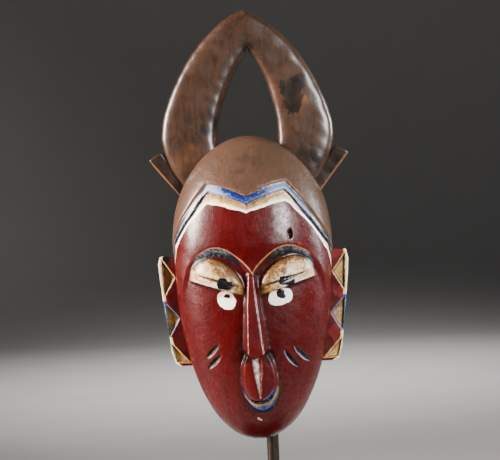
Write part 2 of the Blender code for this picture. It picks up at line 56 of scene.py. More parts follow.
# Head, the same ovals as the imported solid's
CHEEK_LEVEL = 165.0
TEMPLE_LEVEL = 185.0
CHEEK_HALF_WIDTH = 73.2
TEMPLE_HALF_WIDTH = 71.5
DOME_RISE = 96.0
SIDE_DEPTH = 22.0
CHEEK_BULGE = 50.0
TEMPLE_BULGE = 53.0
WALL = 11.0
HEAD_ROWS = 700
WALL_COLUMNS = 24
FRONT_COLUMNS = 560
RIM_COLUMNS = 8
HOLLOW_COLUMNS = 120
WIDTH_POWER = 2.3
DEPTH_POWER = 2.1
HEAD_VOXEL = 1.04 * MM
STUB_VOXEL = 0.6 * MM
BOARD_VOXEL = 0.55 * MM
HEAD_TRIANGLES = 197000

# Raised fields of the carving
HAIR_RISE = 3.0
BAND_RISE = 1.5
FOREHEAD_RISE = 4.0
BROW_SLOPE = 5.5
SIDE_TURN = 38.0
HAIR_MIDDLE = -1.5
HAIRLINE = [(0, 227.3), (5, 229.6), (10, 232), (15, 234.4), (20, 236), (25, 237.4), (30, 238.5),
            (35.5, 239.4), (40, 234), (43.9, 229.8), (47.9, 225), (53, 218), (58, 211), (62.6, 203.5),
            (68.3, 194.2), (73, 187.3), (78, 181), (84, 176.5), (92, 174), (140, 172)]
BLUE_EDGE = [(0, 219.1), (5, 222), (10, 223.9), (15, 225.8), (20, 227.8), (25, 229.6), (30, 231.2),
             (34, 232.3), (40, 226.2), (44, 221), (48.5, 214.5), (53, 208.7), (58, 202.6),
             (62.5, 196), (66.5, 190), (70.5, 184), (76, 177), (83, 171), (140, 166)]
CREAM_EDGE = [(0, 211.9), (5, 214.2), (10, 214.8), (15, 216.2), (20, 218.4), (25, 219.5), (30, 220.3),
              (35, 221.6), (39.5, 219), (44, 213.6), (49, 208.2), (54, 203.4), (58, 198), (62.5, 191.3),
              (66.5, 184), (71, 175.5), (78, 166), (86, 156), (140, 150)]
BROW_MIDDLE = 1.5
BROW = [(-3, 152), (0, 157.5), (5, 164.5), (11.5, 171), (21.5, 178.5), (31, 181.6), (40, 180.6),
        (51, 174.9), (57, 168.5), (62, 161), (65, 153), (69, 138)]
BROW_FOOT = [(4, 152), (8, 157.5), (16, 166), (25, 171.6), (31, 173.3), (36, 173), (42, 171.7),
             (51, 167), (56.5, 161.5), (60, 155)]

# Eyes: middle of the flat lower edge, and the half oval above it
EYE_LEAN = math.radians(16.7)
EYE_INNER = (6.3, 136.6)
LID_HALF_LENGTH = 26.8
LID_HEIGHT = 25.3
LID_SKEW = 0.3
LID_RISE = 8.5
SLIT_LEVEL = 7.0
SLIT_HALF_LENGTH = 22.5

# Horn arch, half of each outline in millimetres from the tip down, and the flat bars behind it
ARCH_OUTER = [(0, 400.5), (5, 399.3), (11, 396.5), (21, 390), (31, 381.5), (41, 371.5), (50, 360.5),
              (59, 346.5), (67, 331), (74, 315), (78.5, 300), (80.3, 286), (78.5, 272), (73.5, 258),
              (66, 245), (56, 232), (40, 222)]
ARCH_INNER = [(0, 364), (7, 354), (13, 343), (19, 329), (24, 313), (27.5, 297), (28.5, 284),
              (27, 272), (20, 262), (8, 250)]
ARCH_MIDDLE = 21.0
ARCH_HALF_DEPTH = 14.0
ARCH_ROWS = 420
ARCH_COLUMNS = 132
ARCH_SQUARENESS = 4.2
TIP_LEAN = 3.5
STUB_LOW = [(57, 219), (66, 230), (80, 247.5), (93.5, 264.5)]
STUB_HIGH = [(52, 226), (58, 238), (69, 254.5), (81, 271.5)]
STUB_FRONT = 27.0
STUB_BACK = 9.0
STUB_ROWS = 60
STUB_COLUMNS = 65
STUB_SQUARENESS = 9
SIDE_NAMES = {-1: "left", 1: "right"}

# Side boards and their three-cornered pits
BOARD_OUTER = [(73, 71), (76.5, 73), (80, 84), (81.5, 97), (83.5, 113), (86, 133), (88, 150), (89, 166),
               (87, 175.5)]
BOARD_LOW = 70.6
BOARD_TOPS = {-1: 173.8, 1: 174.6}
BOARD_ROWS = 260
BOARD_FRONT = 24.0
BOARD_BACK = 5.0
PITS = [((86.6, 172), (84.6, 136), (74.2, 154)),
        ((84.8, 131), (81.4, 98), (71, 115.5)),
        ((81, 93), (76, 74), (63, 73.5))]
PIT_DEPTH = 4.6
PIT_DEPTH_INNER = 0.8

# Level above the chin where the rod bends, the foot plate's edge and the play in its socket
HOOK_BEND = 205
FOOT_EDGE = 1.5 * MM
SOCKET_FIT = 0.3 * MM
SOCKET_DEPTH = 6 * MM

# Nose and mouth lean a little to the right as they go down
FACE_SHIFT = 0.3
FACE_LEAN = 0.05
LEAN_LEVEL = 130.0
NOSE_TOP = 158.0
NOSE_TIP = 82.0
MOUTH_BOARD = [(0, 28.8), (5.5, 30.6), (11, 35.5), (15.5, 44), (17.2, 54), (17.0, 63), (15.6, 73),
               (13.6, 79), (10.5, 86)]
MOUTH_SLIT = [(-20, 57), (-16, 51), (-13, 45), (-9, 41.2), (-4.5, 39.2), (0, 39.2), (4.5, 40.6),
              (9, 44), (13, 49), (15.5, 55), (19, 62)]
CHEEK_CUTS = [(-38.6, 86.7, 46.8), (-37.1, 76.9, 46), (32.8, 77, -54.2), (42.7, 80.8, -48.7)]
CUT_HALF_LENGTH = 10.8
CUT_HALF_WIDTH = 2.5
CUT_DEPTH = 3.0
HOLE_PLACE = (37.2, 191.5)
HOLE_DEPTH = 5.0


def smooth_line(points, steps=6):
    """A smooth line through the points, as an array."""
    p = np.array([points[0], *points, points[-1]], float)
    t = np.linspace(0, 1, steps, endpoint=False)[:, None]
    line = [0.5 * (2 * b + (c - a) * t + (2 * a - 5 * b + 4 * c - d) * t ** 2
                   + (3 * b - a - 3 * c + d) * t ** 3)
            for a, b, c, d in zip(p, p[1:], p[2:], p[3:])]
    return np.concatenate([*line, p[-1:]])


def distance_to(x, z, line):
    """Distance in the front view from each point to a line, above 0 on the left of its run."""
    best = np.full(x.shape, 1e9)
    side = np.ones(x.shape)
    for (ax, az), (bx, bz) in zip(line, line[1:]):
        dx, dz = bx - ax, bz - az
        along = np.clip(((x - ax) * dx + (z - az) * dz) / (dx * dx + dz * dz), 0, 1)
        away = np.hypot(x - ax - along * dx, z - az - along * dz)
        nearer = away < best - 1e-9
        best = np.where(nearer, away, best)
        side = np.where(nearer, np.sign((z - az) * dx - (x - ax) * dz), side)
    return best * np.where(side == 0, 1, side)


def height_over(x, z, line):
    """Distance from each point to a line that runs from left to right, below 0 under it."""
    line = np.array(line)
    over = np.sign(z - np.interp(x, line[:, 0], line[:, 1]))
    return np.abs(distance_to(x, z, line.tolist())) * over


def ease(value, low, high):
    """0 below low, 1 above high and smooth between."""
    t = np.clip((value - low) / (high - low), 0, 1)
    return t * t * (3 - 2 * t)


def soft_max(a, b, blend):
    """The larger of two heights, with a small fillet between them."""
    h = np.clip(0.5 + 0.5 * (a - b) / blend, 0, 1)
    return b + (a - b) * h + blend * h * (1 - h)


def half_width(level, inset=0.0):
    """Half the head's width at a level, on a surface inset from the outer one."""
    low = np.clip((CHEEK_LEVEL - level) / (CHEEK_LEVEL - inset), 0, 1)
    high = np.clip((level - TEMPLE_LEVEL) / (DOME_RISE - inset), 0, 1)
    blend = ease(level, CHEEK_LEVEL, TEMPLE_LEVEL)
    middle = CHEEK_HALF_WIDTH + (TEMPLE_HALF_WIDTH - CHEEK_HALF_WIDTH) * blend - inset
    return middle * (1 - low ** 2) ** (1 / 2.15) * (1 - high ** 2) ** 0.5


def bulge(level, inset=0.0):
    """How far the middle of the face stands forward of the sides at a level."""
    low = np.clip((CHEEK_LEVEL - level) / (CHEEK_LEVEL - inset), 0, 1)
    high = np.clip((level - TEMPLE_LEVEL) / (DOME_RISE - inset), 0, 1)
    blend = ease(level, CHEEK_LEVEL, TEMPLE_LEVEL)
    middle = CHEEK_BULGE + (TEMPLE_BULGE - CHEEK_BULGE) * blend - inset
    return middle * (1 - low ** 2) ** (1 / 2.6) * (1 - high ** 2) ** (1 / 2.2)


def face_forward(x, level):
    """How far the plain face stands in front of the back plane at a point of the front view."""
    width = np.maximum(half_width(level), 1e-6)
    share = np.clip(np.abs(x) / width, 0, 1)
    return SIDE_DEPTH + bulge(level) * (1 - share ** WIDTH_POWER) ** (1 / DEPTH_POWER)


def lean_at(level):
    """How far the middle of the nose and mouth lies to the right of the head's middle."""
    return FACE_SHIFT + FACE_LEAN * np.clip(LEAN_LEVEL - level, 0, None)


def above_band(x, forward, z, line):
    """Distance above one edge of the zigzag bands, with the sides of the head laid out flat."""
    across = np.abs(x - HAIR_MIDDLE) + 0.8 * np.clip(SIDE_TURN - forward, 0, None)
    return height_over(across, z, line)


def eye_frame(x, z, side):
    """Each point in one eye's own frame: along its lower edge from the middle, and up from it."""
    dx = side * (x - FACE_SHIFT) - EYE_INNER[0]
    dz = z - EYE_INNER[1]
    along = dx * math.cos(EYE_LEAN) + dz * math.sin(EYE_LEAN) - LID_HALF_LENGTH
    up = -dx * math.sin(EYE_LEAN) + dz * math.cos(EYE_LEAN)
    return along, up


def inside_lid(along, up):
    """Distance inside the half oval of the lids, below 0 outside."""
    skewed = along - LID_SKEW * np.clip(up, 0, None)
    reach = np.sqrt((skewed / LID_HALF_LENGTH) ** 2 + (np.clip(up, 0, None) / LID_HEIGHT) ** 2)
    return np.minimum((1 - reach) * LID_HEIGHT, up)


def slit_distance(along, up):
    """Distance from the middle line of the slit, squeezed so that it tapers at both ends."""
    taper = np.sqrt(np.clip(1 - (along / SLIT_HALF_LENGTH) ** 2, 0, 1))
    return np.abs(up - SLIT_LEVEL) + 1.6 * (1 - taper) + 10 * (np.abs(along) > SLIT_HALF_LENGTH)


def cut_distance(x, z, cut):
    """Distance outside one cheek cut, the way across it and half its width there."""
    lean = math.radians(cut[2])
    dx = x - cut[0]
    dz = z - cut[1]
    along = dx * math.cos(lean) + dz * math.sin(lean)
    across = -dx * math.sin(lean) + dz * math.cos(lean)
    width = CUT_HALF_WIDTH * np.clip(1 - (along / CUT_HALF_LENGTH) ** 2, 0.0, 1)
    past_end = np.clip(np.abs(along) - CUT_HALF_LENGTH + 1.0, 0, None)
    return np.abs(across) - width + past_end, across, width


BROW_SMOOTH = smooth_line(BROW, 5).tolist()
MOUTH_HALF = smooth_line(MOUTH_BOARD, 5)
MOUTH_OUTLINE = np.concatenate([MOUTH_HALF[::-1] * (-1, 1), MOUTH_HALF[1:]]).tolist()
SLIT_SMOOTH = smooth_line(MOUTH_SLIT, 4).tolist()


def philtrum(middle, z):
    """The groove from the nose to the lips: how far right of its bottom, its reach and how open."""
    share = np.clip((z - 43) / 28, 0, 1)
    off = middle + 0.6 - 2.2 * share
    return off, np.where(off < 0, 1.6 + 5.2 * share, 0.9 + 1.2 * share), share


def hollow_share(x, forward, z):
    """How far out a point lies, where the wall of the hollow is at 1."""
    across = np.abs(x) / np.maximum(half_width(z, WALL), 1.0)
    deep = np.clip(forward - SIDE_DEPTH, 0, None) / np.maximum(bulge(z, WALL), 1.0)
    return (np.minimum(across, 9) ** WIDTH_POWER + np.minimum(deep, 9) ** DEPTH_POWER) ** (1 / 2.2)


def relief(x, forward, z):
    """Extra height of the carving over the plain head: forward, and outward all round."""
    front = ease(forward, SIDE_DEPTH + 2, SIDE_DEPTH + 22)
    outward = BAND_RISE * ease(above_band(x, forward, z, BLUE_EDGE), -0.5, 0.7)
    outward += (HAIR_RISE - BAND_RISE) * ease(above_band(x, forward, z, HAIRLINE), -0.5, 0.5)
    brow = height_over(np.abs(x - BROW_MIDDLE), z, BROW_SMOOTH)
    height = FOREHEAD_RISE * np.clip(1 + brow / BROW_SLOPE, 0, 1) * front
    height = np.where(z > 200, FOREHEAD_RISE * front, height)
    for side in (-1, 1):
        along, up = eye_frame(x, z, side)
        skewed = along - LID_SKEW * np.clip(up, 0, None)
        dome = 1 - (skewed / LID_HALF_LENGTH) ** 2 - ((up - 4) / (LID_HEIGHT - 4)) ** 2
        lid = (LID_RISE + 1.5) * np.clip(dome, 0, 1) ** 0.42 - 1.5
        lid = lid * ease(up, -0.6, 0.5)
        lid -= 0.9 * ease(-up, -SLIT_LEVEL, -SLIT_LEVEL + 1.5)
        lid -= 2.2 * (1 - ease(slit_distance(along, up), 0.6, 1.7))
        inside = inside_lid(along, up) > -1.2
        height = np.where(inside, soft_max(height, lid, 0.7), height)
    middle = x - lean_at(z)
    fall = np.clip((NOSE_TOP - z) / (NOSE_TOP - NOSE_TIP), 0, 1)
    ridge = 2.1 + 5.6 * fall
    foot = 4.6 + 7.8 * fall
    rise = 3.6 + 18.4 * fall
    drop = face_forward(lean_at(z), z) - face_forward(x, z)
    nose = (rise + drop) * np.clip((foot - np.abs(middle)) / (foot - ridge), 0, 1)
    tip = NOSE_TIP - 0.7 + 5.0 * (np.abs(middle) / 12.0) ** 2
    nose *= ease(z, tip - 0.8, tip + 0.8) * ease(-z, -NOSE_TOP - 4, -NOSE_TOP + 4)
    board = distance_to(middle, z, MOUTH_OUTLINE)
    lip = 10.0 + 5.0 * np.clip((84 - z) / 50, 0, 1)
    crown = np.clip(1 - (middle / 26) ** 2, 0, 1)
    pad = (lip + drop) * ease(board, -0.4, 3.2) * crown
    pad *= ease(-z, -87, -82)
    off_groove, groove_reach, groove_share = philtrum(middle, z)
    groove = np.clip(1 - np.abs(off_groove) / groove_reach, 0, 1) * ease(z, 41, 45)
    pad -= np.where(board > 1, (1.5 + 2.8 * groove_share) * groove, 0)
    over_slit = height_over(middle, z, SLIT_SMOOTH)
    pad -= np.where(board > -1, 3.0 * (1 - ease(np.abs(over_slit), 0.5, 2.0)), 0)
    pad -= np.where((over_slit < 0) & (board > -1), 0.8, 0)
    height = soft_max(height, soft_max(nose, pad, 0.8), 1.0)
    for cut in CHEEK_CUTS:
        height -= CUT_DEPTH * np.clip(-cut_distance(x, z, cut)[0] / CUT_HALF_WIDTH, 0, 1)
    hole = np.hypot((x - HOLE_PLACE[0]) / 1.7, (z - HOLE_PLACE[1]) / 4.1)
    height -= HOLE_DEPTH * (1 - ease(hole, 0.6, 1.1)) * front
    return height * (forward > SIDE_DEPTH + 0.5), outward


def deselect():
    bpy.ops.object.select_all(action="DESELECT")


def only(piece):
    """Makes one piece the selected and active one."""
    deselect()
    piece.select_set(True)
    bpy.context.view_layer.objects.active = piece


def apply_step(piece, kind, **settings):
    """Adds a modifier with its settings and applies it."""
    only(piece)
    step = piece.modifiers.new(kind.title(), kind)
    for name, value in settings.items():
        setattr(step, name, value)
    bpy.ops.object.modifier_apply(modifier=step.name)


def coordinates(piece):
    """The piece's vertices as an array in metres."""
    flat = np.empty(len(piece.data.vertices) * 3, np.float32)
    piece.data.vertices.foreach_get("co", flat)
    return flat.reshape(-1, 3).astype(float)


def move_vertices(piece, places):
    piece.data.vertices.foreach_set("co", places.astype(np.float32).ravel())
    piece.data.update()


def carving_space(places):
    """Metres in the scene to millimetres across, forward of the back plane and above the chin."""
    return places[:, 0] / MM, (BACK - places[:, 1]) / MM, (places[:, 2] - CHIN) / MM


def scene_space(x, forward, z):
    """Millimetres across, forward and up to metres in the scene."""
    return np.stack([x * MM, BACK - forward * MM, CHIN + z * MM], axis=1)


def shaped_grid(name, rows, columns, places):
    """A grid primitive whose points are put at the given places, its seams merged."""
    deselect()
    bpy.ops.mesh.primitive_grid_add(x_subdivisions=columns - 1, y_subdivisions=rows - 1, size=1)
    piece = bpy.context.object
    piece.name = name
    piece.data.name = name
    move_vertices(piece, places)
    bpy.ops.object.mode_set(mode="EDIT")
    bpy.ops.mesh.select_all(action="SELECT")
    bpy.ops.mesh.remove_doubles(threshold=1e-6)
    bpy.ops.mesh.normals_make_consistent(inside=False)
    bpy.ops.object.mode_set(mode="OBJECT")
    return piece


def carved_grid(name, x, forward, z):
    """A grid primitive laid out by rows of points in millimetres."""
    return shaped_grid(name, *x.shape, scene_space(x.ravel(), forward.ravel(), z.ravel()))


def remesh(piece, voxel):
    """Gives the piece an even mesh and takes the sharpness off its edges."""
    apply_step(piece, "REMESH", mode="VOXEL", voxel_size=voxel, adaptivity=0.0)
    apply_step(piece, "SMOOTH", factor=0.5, iterations=2)


def head_section(rows, inset, wall_columns, front_columns):
    """Rows of points over one skin of the head, from its left back edge round to its right one."""
    latitude = np.linspace(-math.pi / 2, math.pi / 2, rows)[:, None]
    middle = (CHEEK_LEVEL + TEMPLE_LEVEL) / 2
    up = np.sin(latitude)
    level = middle + up * np.where(up > 0, TEMPLE_LEVEL + DOME_RISE - inset - middle, middle - inset)
    width = half_width(level, inset)
    depth = bulge(level, inset)
    turn = np.linspace(math.pi, 0, front_columns)[None, :]
    side = np.cos(turn)
    x = width * np.sign(side) * np.abs(side) ** (2 / WIDTH_POWER)
    forward = SIDE_DEPTH + depth * np.clip(np.sin(turn), 0, 1) ** (2 / DEPTH_POWER)
    back = np.linspace(0, SIDE_DEPTH, wall_columns, endpoint=False)[None, :]
    ones = np.ones_like(level)
    x = np.concatenate([-width * np.ones_like(back), x, width * np.ones_like(back)], axis=1)
    forward = np.concatenate([ones * back, forward, ones * back[:, ::-1]], axis=1)
    z = level * np.ones_like(x)
    return x, forward, z


def carved_head():
    """The whole head with its hollow: outer skin with the relief, back rim and inner skin."""
    x, forward, z = head_section(HEAD_ROWS, 0.0, WALL_COLUMNS, FRONT_COLUMNS)
    height, outward = relief(x.ravel(), forward.ravel(), z.ravel())
    height = height.reshape(x.shape)
    outward = outward.reshape(x.shape)
    out_x = x / CHEEK_HALF_WIDTH ** 2
    out_f = np.clip(forward - SIDE_DEPTH, 0, None) / CHEEK_BULGE ** 2
    out_z = (z - np.clip(z, CHEEK_LEVEL, TEMPLE_LEVEL)) / 96.0 ** 2
    size = np.sqrt(out_x ** 2 + out_f ** 2 + out_z ** 2) + 1e-9
    x = x + outward * out_x / size
    z = z + outward * out_z / size
    forward = forward + height + outward * out_f / size
    inner_x, inner_forward, inner_z = head_section(HEAD_ROWS, WALL, 8, HOLLOW_COLUMNS)
    gouges = np.abs(np.sin(inner_x / 5.2 + 1.3 * np.sin(inner_z / 19.0))) * ease(inner_forward, 16, 30)
    inner_forward = inner_forward + 0.9 * gouges * np.abs(np.cos(inner_z / 21.0 + inner_x / 30.0))
    share = np.linspace(0, 1, RIM_COLUMNS + 2)[None, 1:-1]
    rings = []
    for outer, inner in ((x, inner_x), (forward, inner_forward), (z, inner_z)):
        right_rim = outer[:, -1:] + (inner[:, -1:] - outer[:, -1:]) * share
        left_rim = inner[:, :1] + (outer[:, :1] - inner[:, :1]) * share
        rings.append(np.concatenate([outer, right_rim, inner[:, ::-1], left_rim, outer[:, :1]], axis=1))
    head = carved_grid("carved_head", *rings)
    remesh(head, HEAD_VOXEL)
    thin_hollow(head)
    return head


def thin_hollow(head):
    """Thins the plain mesh of the hollow and the back rim, so that the whole head keeps to its count."""
    x, forward, z = carving_space(coordinates(head))
    plain = (hollow_share(x, forward, z) < 1.04) | (forward < 0.6)
    group = head.vertex_groups.new(name="hollow")
    group.add([int(place) for place in np.flatnonzero(plain)], 1.0, "REPLACE")
    triangles = len(head.data.loops) - 2 * len(head.data.polygons)
    apply_step(head, "DECIMATE", ratio=HEAD_TRIANGLES / triangles, vertex_group="hollow")
    head.vertex_groups.clear()


def evenly(line, count):
    """The line's points spaced evenly along it."""
    line = np.array(line, float)
    run = np.concatenate([[0], np.cumsum(np.hypot(*np.diff(line, axis=0).T))])
    stops = np.linspace(0, run[-1], count)
    return np.stack([np.interp(stops, run, line[:, 0]), np.interp(stops, run, line[:, 1])], axis=1)


def hollow_cutter():
    """A closed solid a little larger than the hollow, to keep the horns' roots inside the wall."""
    x, forward, z = head_section(60, WALL - 4.0, 4, 60)
    closed = [np.concatenate([part, part[:, :1]], axis=1) for part in (x, forward, z)]
    closed[1][:, :1] = closed[1][:, -1:] = -6.0
    return carved_grid("hollow_cutter", *closed)


def flat_bar(name, one_edge, other_edge, squareness, columns, middle_forward, half_depth, side=1):
    """A bar with rounded corners, swept between two edge lines of the front view, its ends closed."""
    turn = np.linspace(0, 2 * math.pi, columns)[None, :]
    across = np.sign(np.cos(turn)) * np.abs(np.cos(turn)) ** (2 / squareness)
    deep = np.sign(np.sin(turn)) * np.abs(np.sin(turn)) ** (2 / squareness)
    middle = (one_edge + other_edge) / 2
    reach = (one_edge - other_edge) / 2
    shrink = np.ones((len(middle), 1))
    shrink[0] = shrink[-1] = 0.0
    x = side * (middle[:, :1] + reach[:, :1] * across * shrink)
    z = middle[:, 1:] + reach[:, 1:] * across * shrink
    return carved_grid(name, x, middle_forward + half_depth * deep * shrink, z)


def horn_arch():
    """The two flat horns as one bar with rounded edges, swept from root to tip to root."""
    half = ARCH_ROWS // 2
    outer = evenly(smooth_line(ARCH_OUTER, 5), half)
    inner = evenly(smooth_line(ARCH_INNER, 5), half)
    outer = np.concatenate([outer[::-1] * (-1, 1), outer[1:]])
    inner = np.concatenate([inner[::-1] * (-1, 1), inner[1:]])
    inner[:, 0] += TIP_LEAN * ease(inner[:, 1], 270, 364)
    arch = flat_bar("horn_arch", outer, inner, ARCH_SQUARENESS, ARCH_COLUMNS, ARCH_MIDDLE,
                    ARCH_HALF_DEPTH)
    cutter = hollow_cutter()
    apply_step(arch, "BOOLEAN", operation="DIFFERENCE", solver="EXACT", object=cutter)
    bpy.data.objects.remove(cutter, do_unlink=True)
    return arch


def horn_stub(side):
    """The flat bar that points up and out behind one horn."""
    rows = np.concatenate([[0], np.arange(STUB_ROWS), [STUB_ROWS - 1]])
    low = evenly(smooth_line(STUB_LOW, 4), STUB_ROWS)[rows]
    high = evenly(smooth_line(STUB_HIGH, 4), STUB_ROWS)[rows]
    stub = flat_bar(f"horn_stub_{SIDE_NAMES[side]}", low, high, STUB_SQUARENESS, STUB_COLUMNS,
                    (STUB_FRONT + STUB_BACK) / 2, (STUB_FRONT - STUB_BACK) / 2, side)
    remesh(stub, STUB_VOXEL)
    return stub


def inside_pit(x, z):
    """Distance inside the nearest three-cornered pit of a side board, below 0 outside."""
    best = np.full(x.shape, -1e9)
    for corners in PITS:
        ring = [*corners, corners[0]]
        inside = np.full(x.shape, 1e9)
        for (ax, az), (bx, bz) in zip(ring, ring[1:]):
            run = math.hypot(bx - ax, bz - az)
            inside = np.minimum(inside, ((x - ax) * (bz - az) - (z - az) * (bx - ax)) / run)
        best = np.maximum(best, inside)
    return best


def side_board(side):
    """The flat board at one side of the face, its front cut with a row of pits."""
    line = np.array(BOARD_OUTER)
    caps = 5
    top = BOARD_TOPS[side]
    levels = np.linspace(BOARD_LOW, top, BOARD_ROWS)
    z_rows = np.concatenate([[BOARD_LOW] * caps, levels, [top] * caps])
    shrink = np.concatenate([np.linspace(0, 1, caps, endpoint=False), np.ones(BOARD_ROWS),
                             np.linspace(1, 0, caps + 1)[1:]])
    outer = np.interp(z_rows, line[:, 1], line[:, 0])
    inner = half_width(z_rows) - 5.0
    front = np.linspace(0, 1, 90)
    edge = np.linspace(0, 1, 40)[1:-1]
    across = np.concatenate([front, np.ones(38), front[::-1], np.zeros(38), [0]])
    deep = np.concatenate([np.zeros(90), edge, np.ones(90), edge[::-1], [0]])
    x = inner[:, None] + (outer - inner)[:, None] * across[None, :]
    z = z_rows[:, None] * np.ones_like(x)
    share = np.clip((x - 64) / 22, 0, 1)
    depth = (PIT_DEPTH_INNER + (PIT_DEPTH - PIT_DEPTH_INNER) * share) * ease(inside_pit(x, z), -0.1, 0.9)
    thick = BOARD_FRONT - BOARD_BACK
    forward = BOARD_FRONT - thick * deep[None, :] - np.where(deep[None, :] == 0, depth, 0)
    middle_x = ((inner + outer) / 2)[:, None]
    middle_f = (BOARD_FRONT + BOARD_BACK) / 2
    x = side * (middle_x + (x - middle_x) * shrink[:, None])
    forward = middle_f + (forward - middle_f) * shrink[:, None]
    board = carved_grid(f"side_board_{SIDE_NAMES[side]}", x, forward, z)
    remesh(board, BOARD_VOXEL)
    return board


def make_uneven(piece, height):
    """Moves the surface in and out a little, in long shallow waves, as a knife leaves it."""
    places = coordinates(piece)
    normals = np.empty(len(places) * 3, np.float32)
    piece.data.vertices.foreach_get("normal", normals)
    x, y, z = (places / MM).T
    waves = np.sin(x / 7.1 + 1.7 * np.sin(z / 17.0)) * np.sin(z / 9.3 + 1.1 * np.sin(x / 13.0))
    waves += 0.6 * np.sin(x / 3.1 + z / 5.7 + y / 4.3) * np.sin(z / 4.1 - y / 6.1)
    move_vertices(piece, places + normals.reshape(-1, 3) * (waves * height * MM)[:, None])


def edge_sharpness(piece, passes=3):
    """How far each point stands out from its neighbours, above 0 on ridges and below 0 in grooves."""
    mesh = piece.data
    ends = np.empty(len(mesh.edges) * 2, np.int32)
    mesh.edges.foreach_get("vertices", ends)
    start, end = ends.reshape(-1, 2).T
    count = len(mesh.vertices)
    near = np.maximum(np.bincount(start, minlength=count) + np.bincount(end, minlength=count), 1)

    def neighbours(values):
        total = np.bincount(start, values[end], count) + np.bincount(end, values[start], count)
        return total / near

    normals = np.empty(count * 3, np.float32)
    mesh.vertices.foreach_get("normal", normals)
    normals = normals.reshape(-1, 3)
    places = coordinates(piece) / MM
    smooth = places.copy()
    for _ in range(passes):
        smooth = np.stack([neighbours(smooth[:, axis]) for axis in range(3)], axis=1)
    out = ((places - smooth) * normals).sum(axis=1)
    for _ in range(2):
        out = neighbours(out)
    return out


def store(piece, name, values):
    """Keeps one number per vertex on the piece for its material to read."""
    attribute = piece.data.attributes.new(name, "FLOAT", "POINT")
    attribute.data.foreach_set("value", np.asarray(values, np.float32))


def inside_oval(x, z, middle, reach, power=2.0):
    """Distance inside an upright oval, squarer for a higher power, below 0 outside."""
    share = (np.abs((x - middle[0]) / reach[0]) ** power + np.abs((z - middle[1]) / reach[1]) ** power)
    return (1 - share ** (1 / power)) * min(reach)


def nearest(*distances):
    return np.max(np.stack(distances), axis=0)


# Painted spots and worn patches, each a middle and a reach in millimetres
PUPILS = [((-25.6, 149.0), (4.8, 5.4)), ((-22.6, 147.2), (5.6, 4.0)), ((31.6, 149.6), (6.2, 4.2)),
          ((35, 148.8), (5.0, 4.6))]
EYE_WHITES = [((-24, 134.2), (7.6, 7.6)), ((-21.6, 131), (6.8, 6.2)), ((23.5, 133.6), (8.4, 6.8)),
              ((30, 135.5), (6.8, 6.6))]
EYE_DOTS = [((-22.6, 137.6), (3.9, 2.8)), ((26.4, 137.8), (3.8, 3.2)), ((28, 135.6), (2.6, 2.6))]
PINK_WORN = [((-28.5, 139.0), (4.0, 2.6)), ((-18.5, 137.5), (2.4, 3.0))]
DARK_PATCHES = [((45, 318), (8, 18)), ((52, 333), (9, 6)), ((38, 326), (7, 7)), ((-31, 300), (3.5, 10)),
                ((-40, 290), (3, 5)), ((-2, 262), (8, 4)), ((9, 258), (6, 4)), ((-7, 250), (5, 2.5)),
                ((62, 262), (5, 9)), ((4, 364), (5, 5))]
CREAM_CHIPS = [((0.4, 22.4), (1.4, 0.8)), ((2.2, 21.2), (1.6, 0.7)), ((-8.5, 1.5), (1.2, 1.2))]
RED_DOT = ((45.4, 182.2), (1.7, 1.5))
CHALKY = [((76, 172), (7, 7)), ((80, 134), (7, 5)), ((77, 97), (8, 8)), ((-84, 132), (3, 3))]
TOP_SPOT = ((-82, 172), (4, 4))


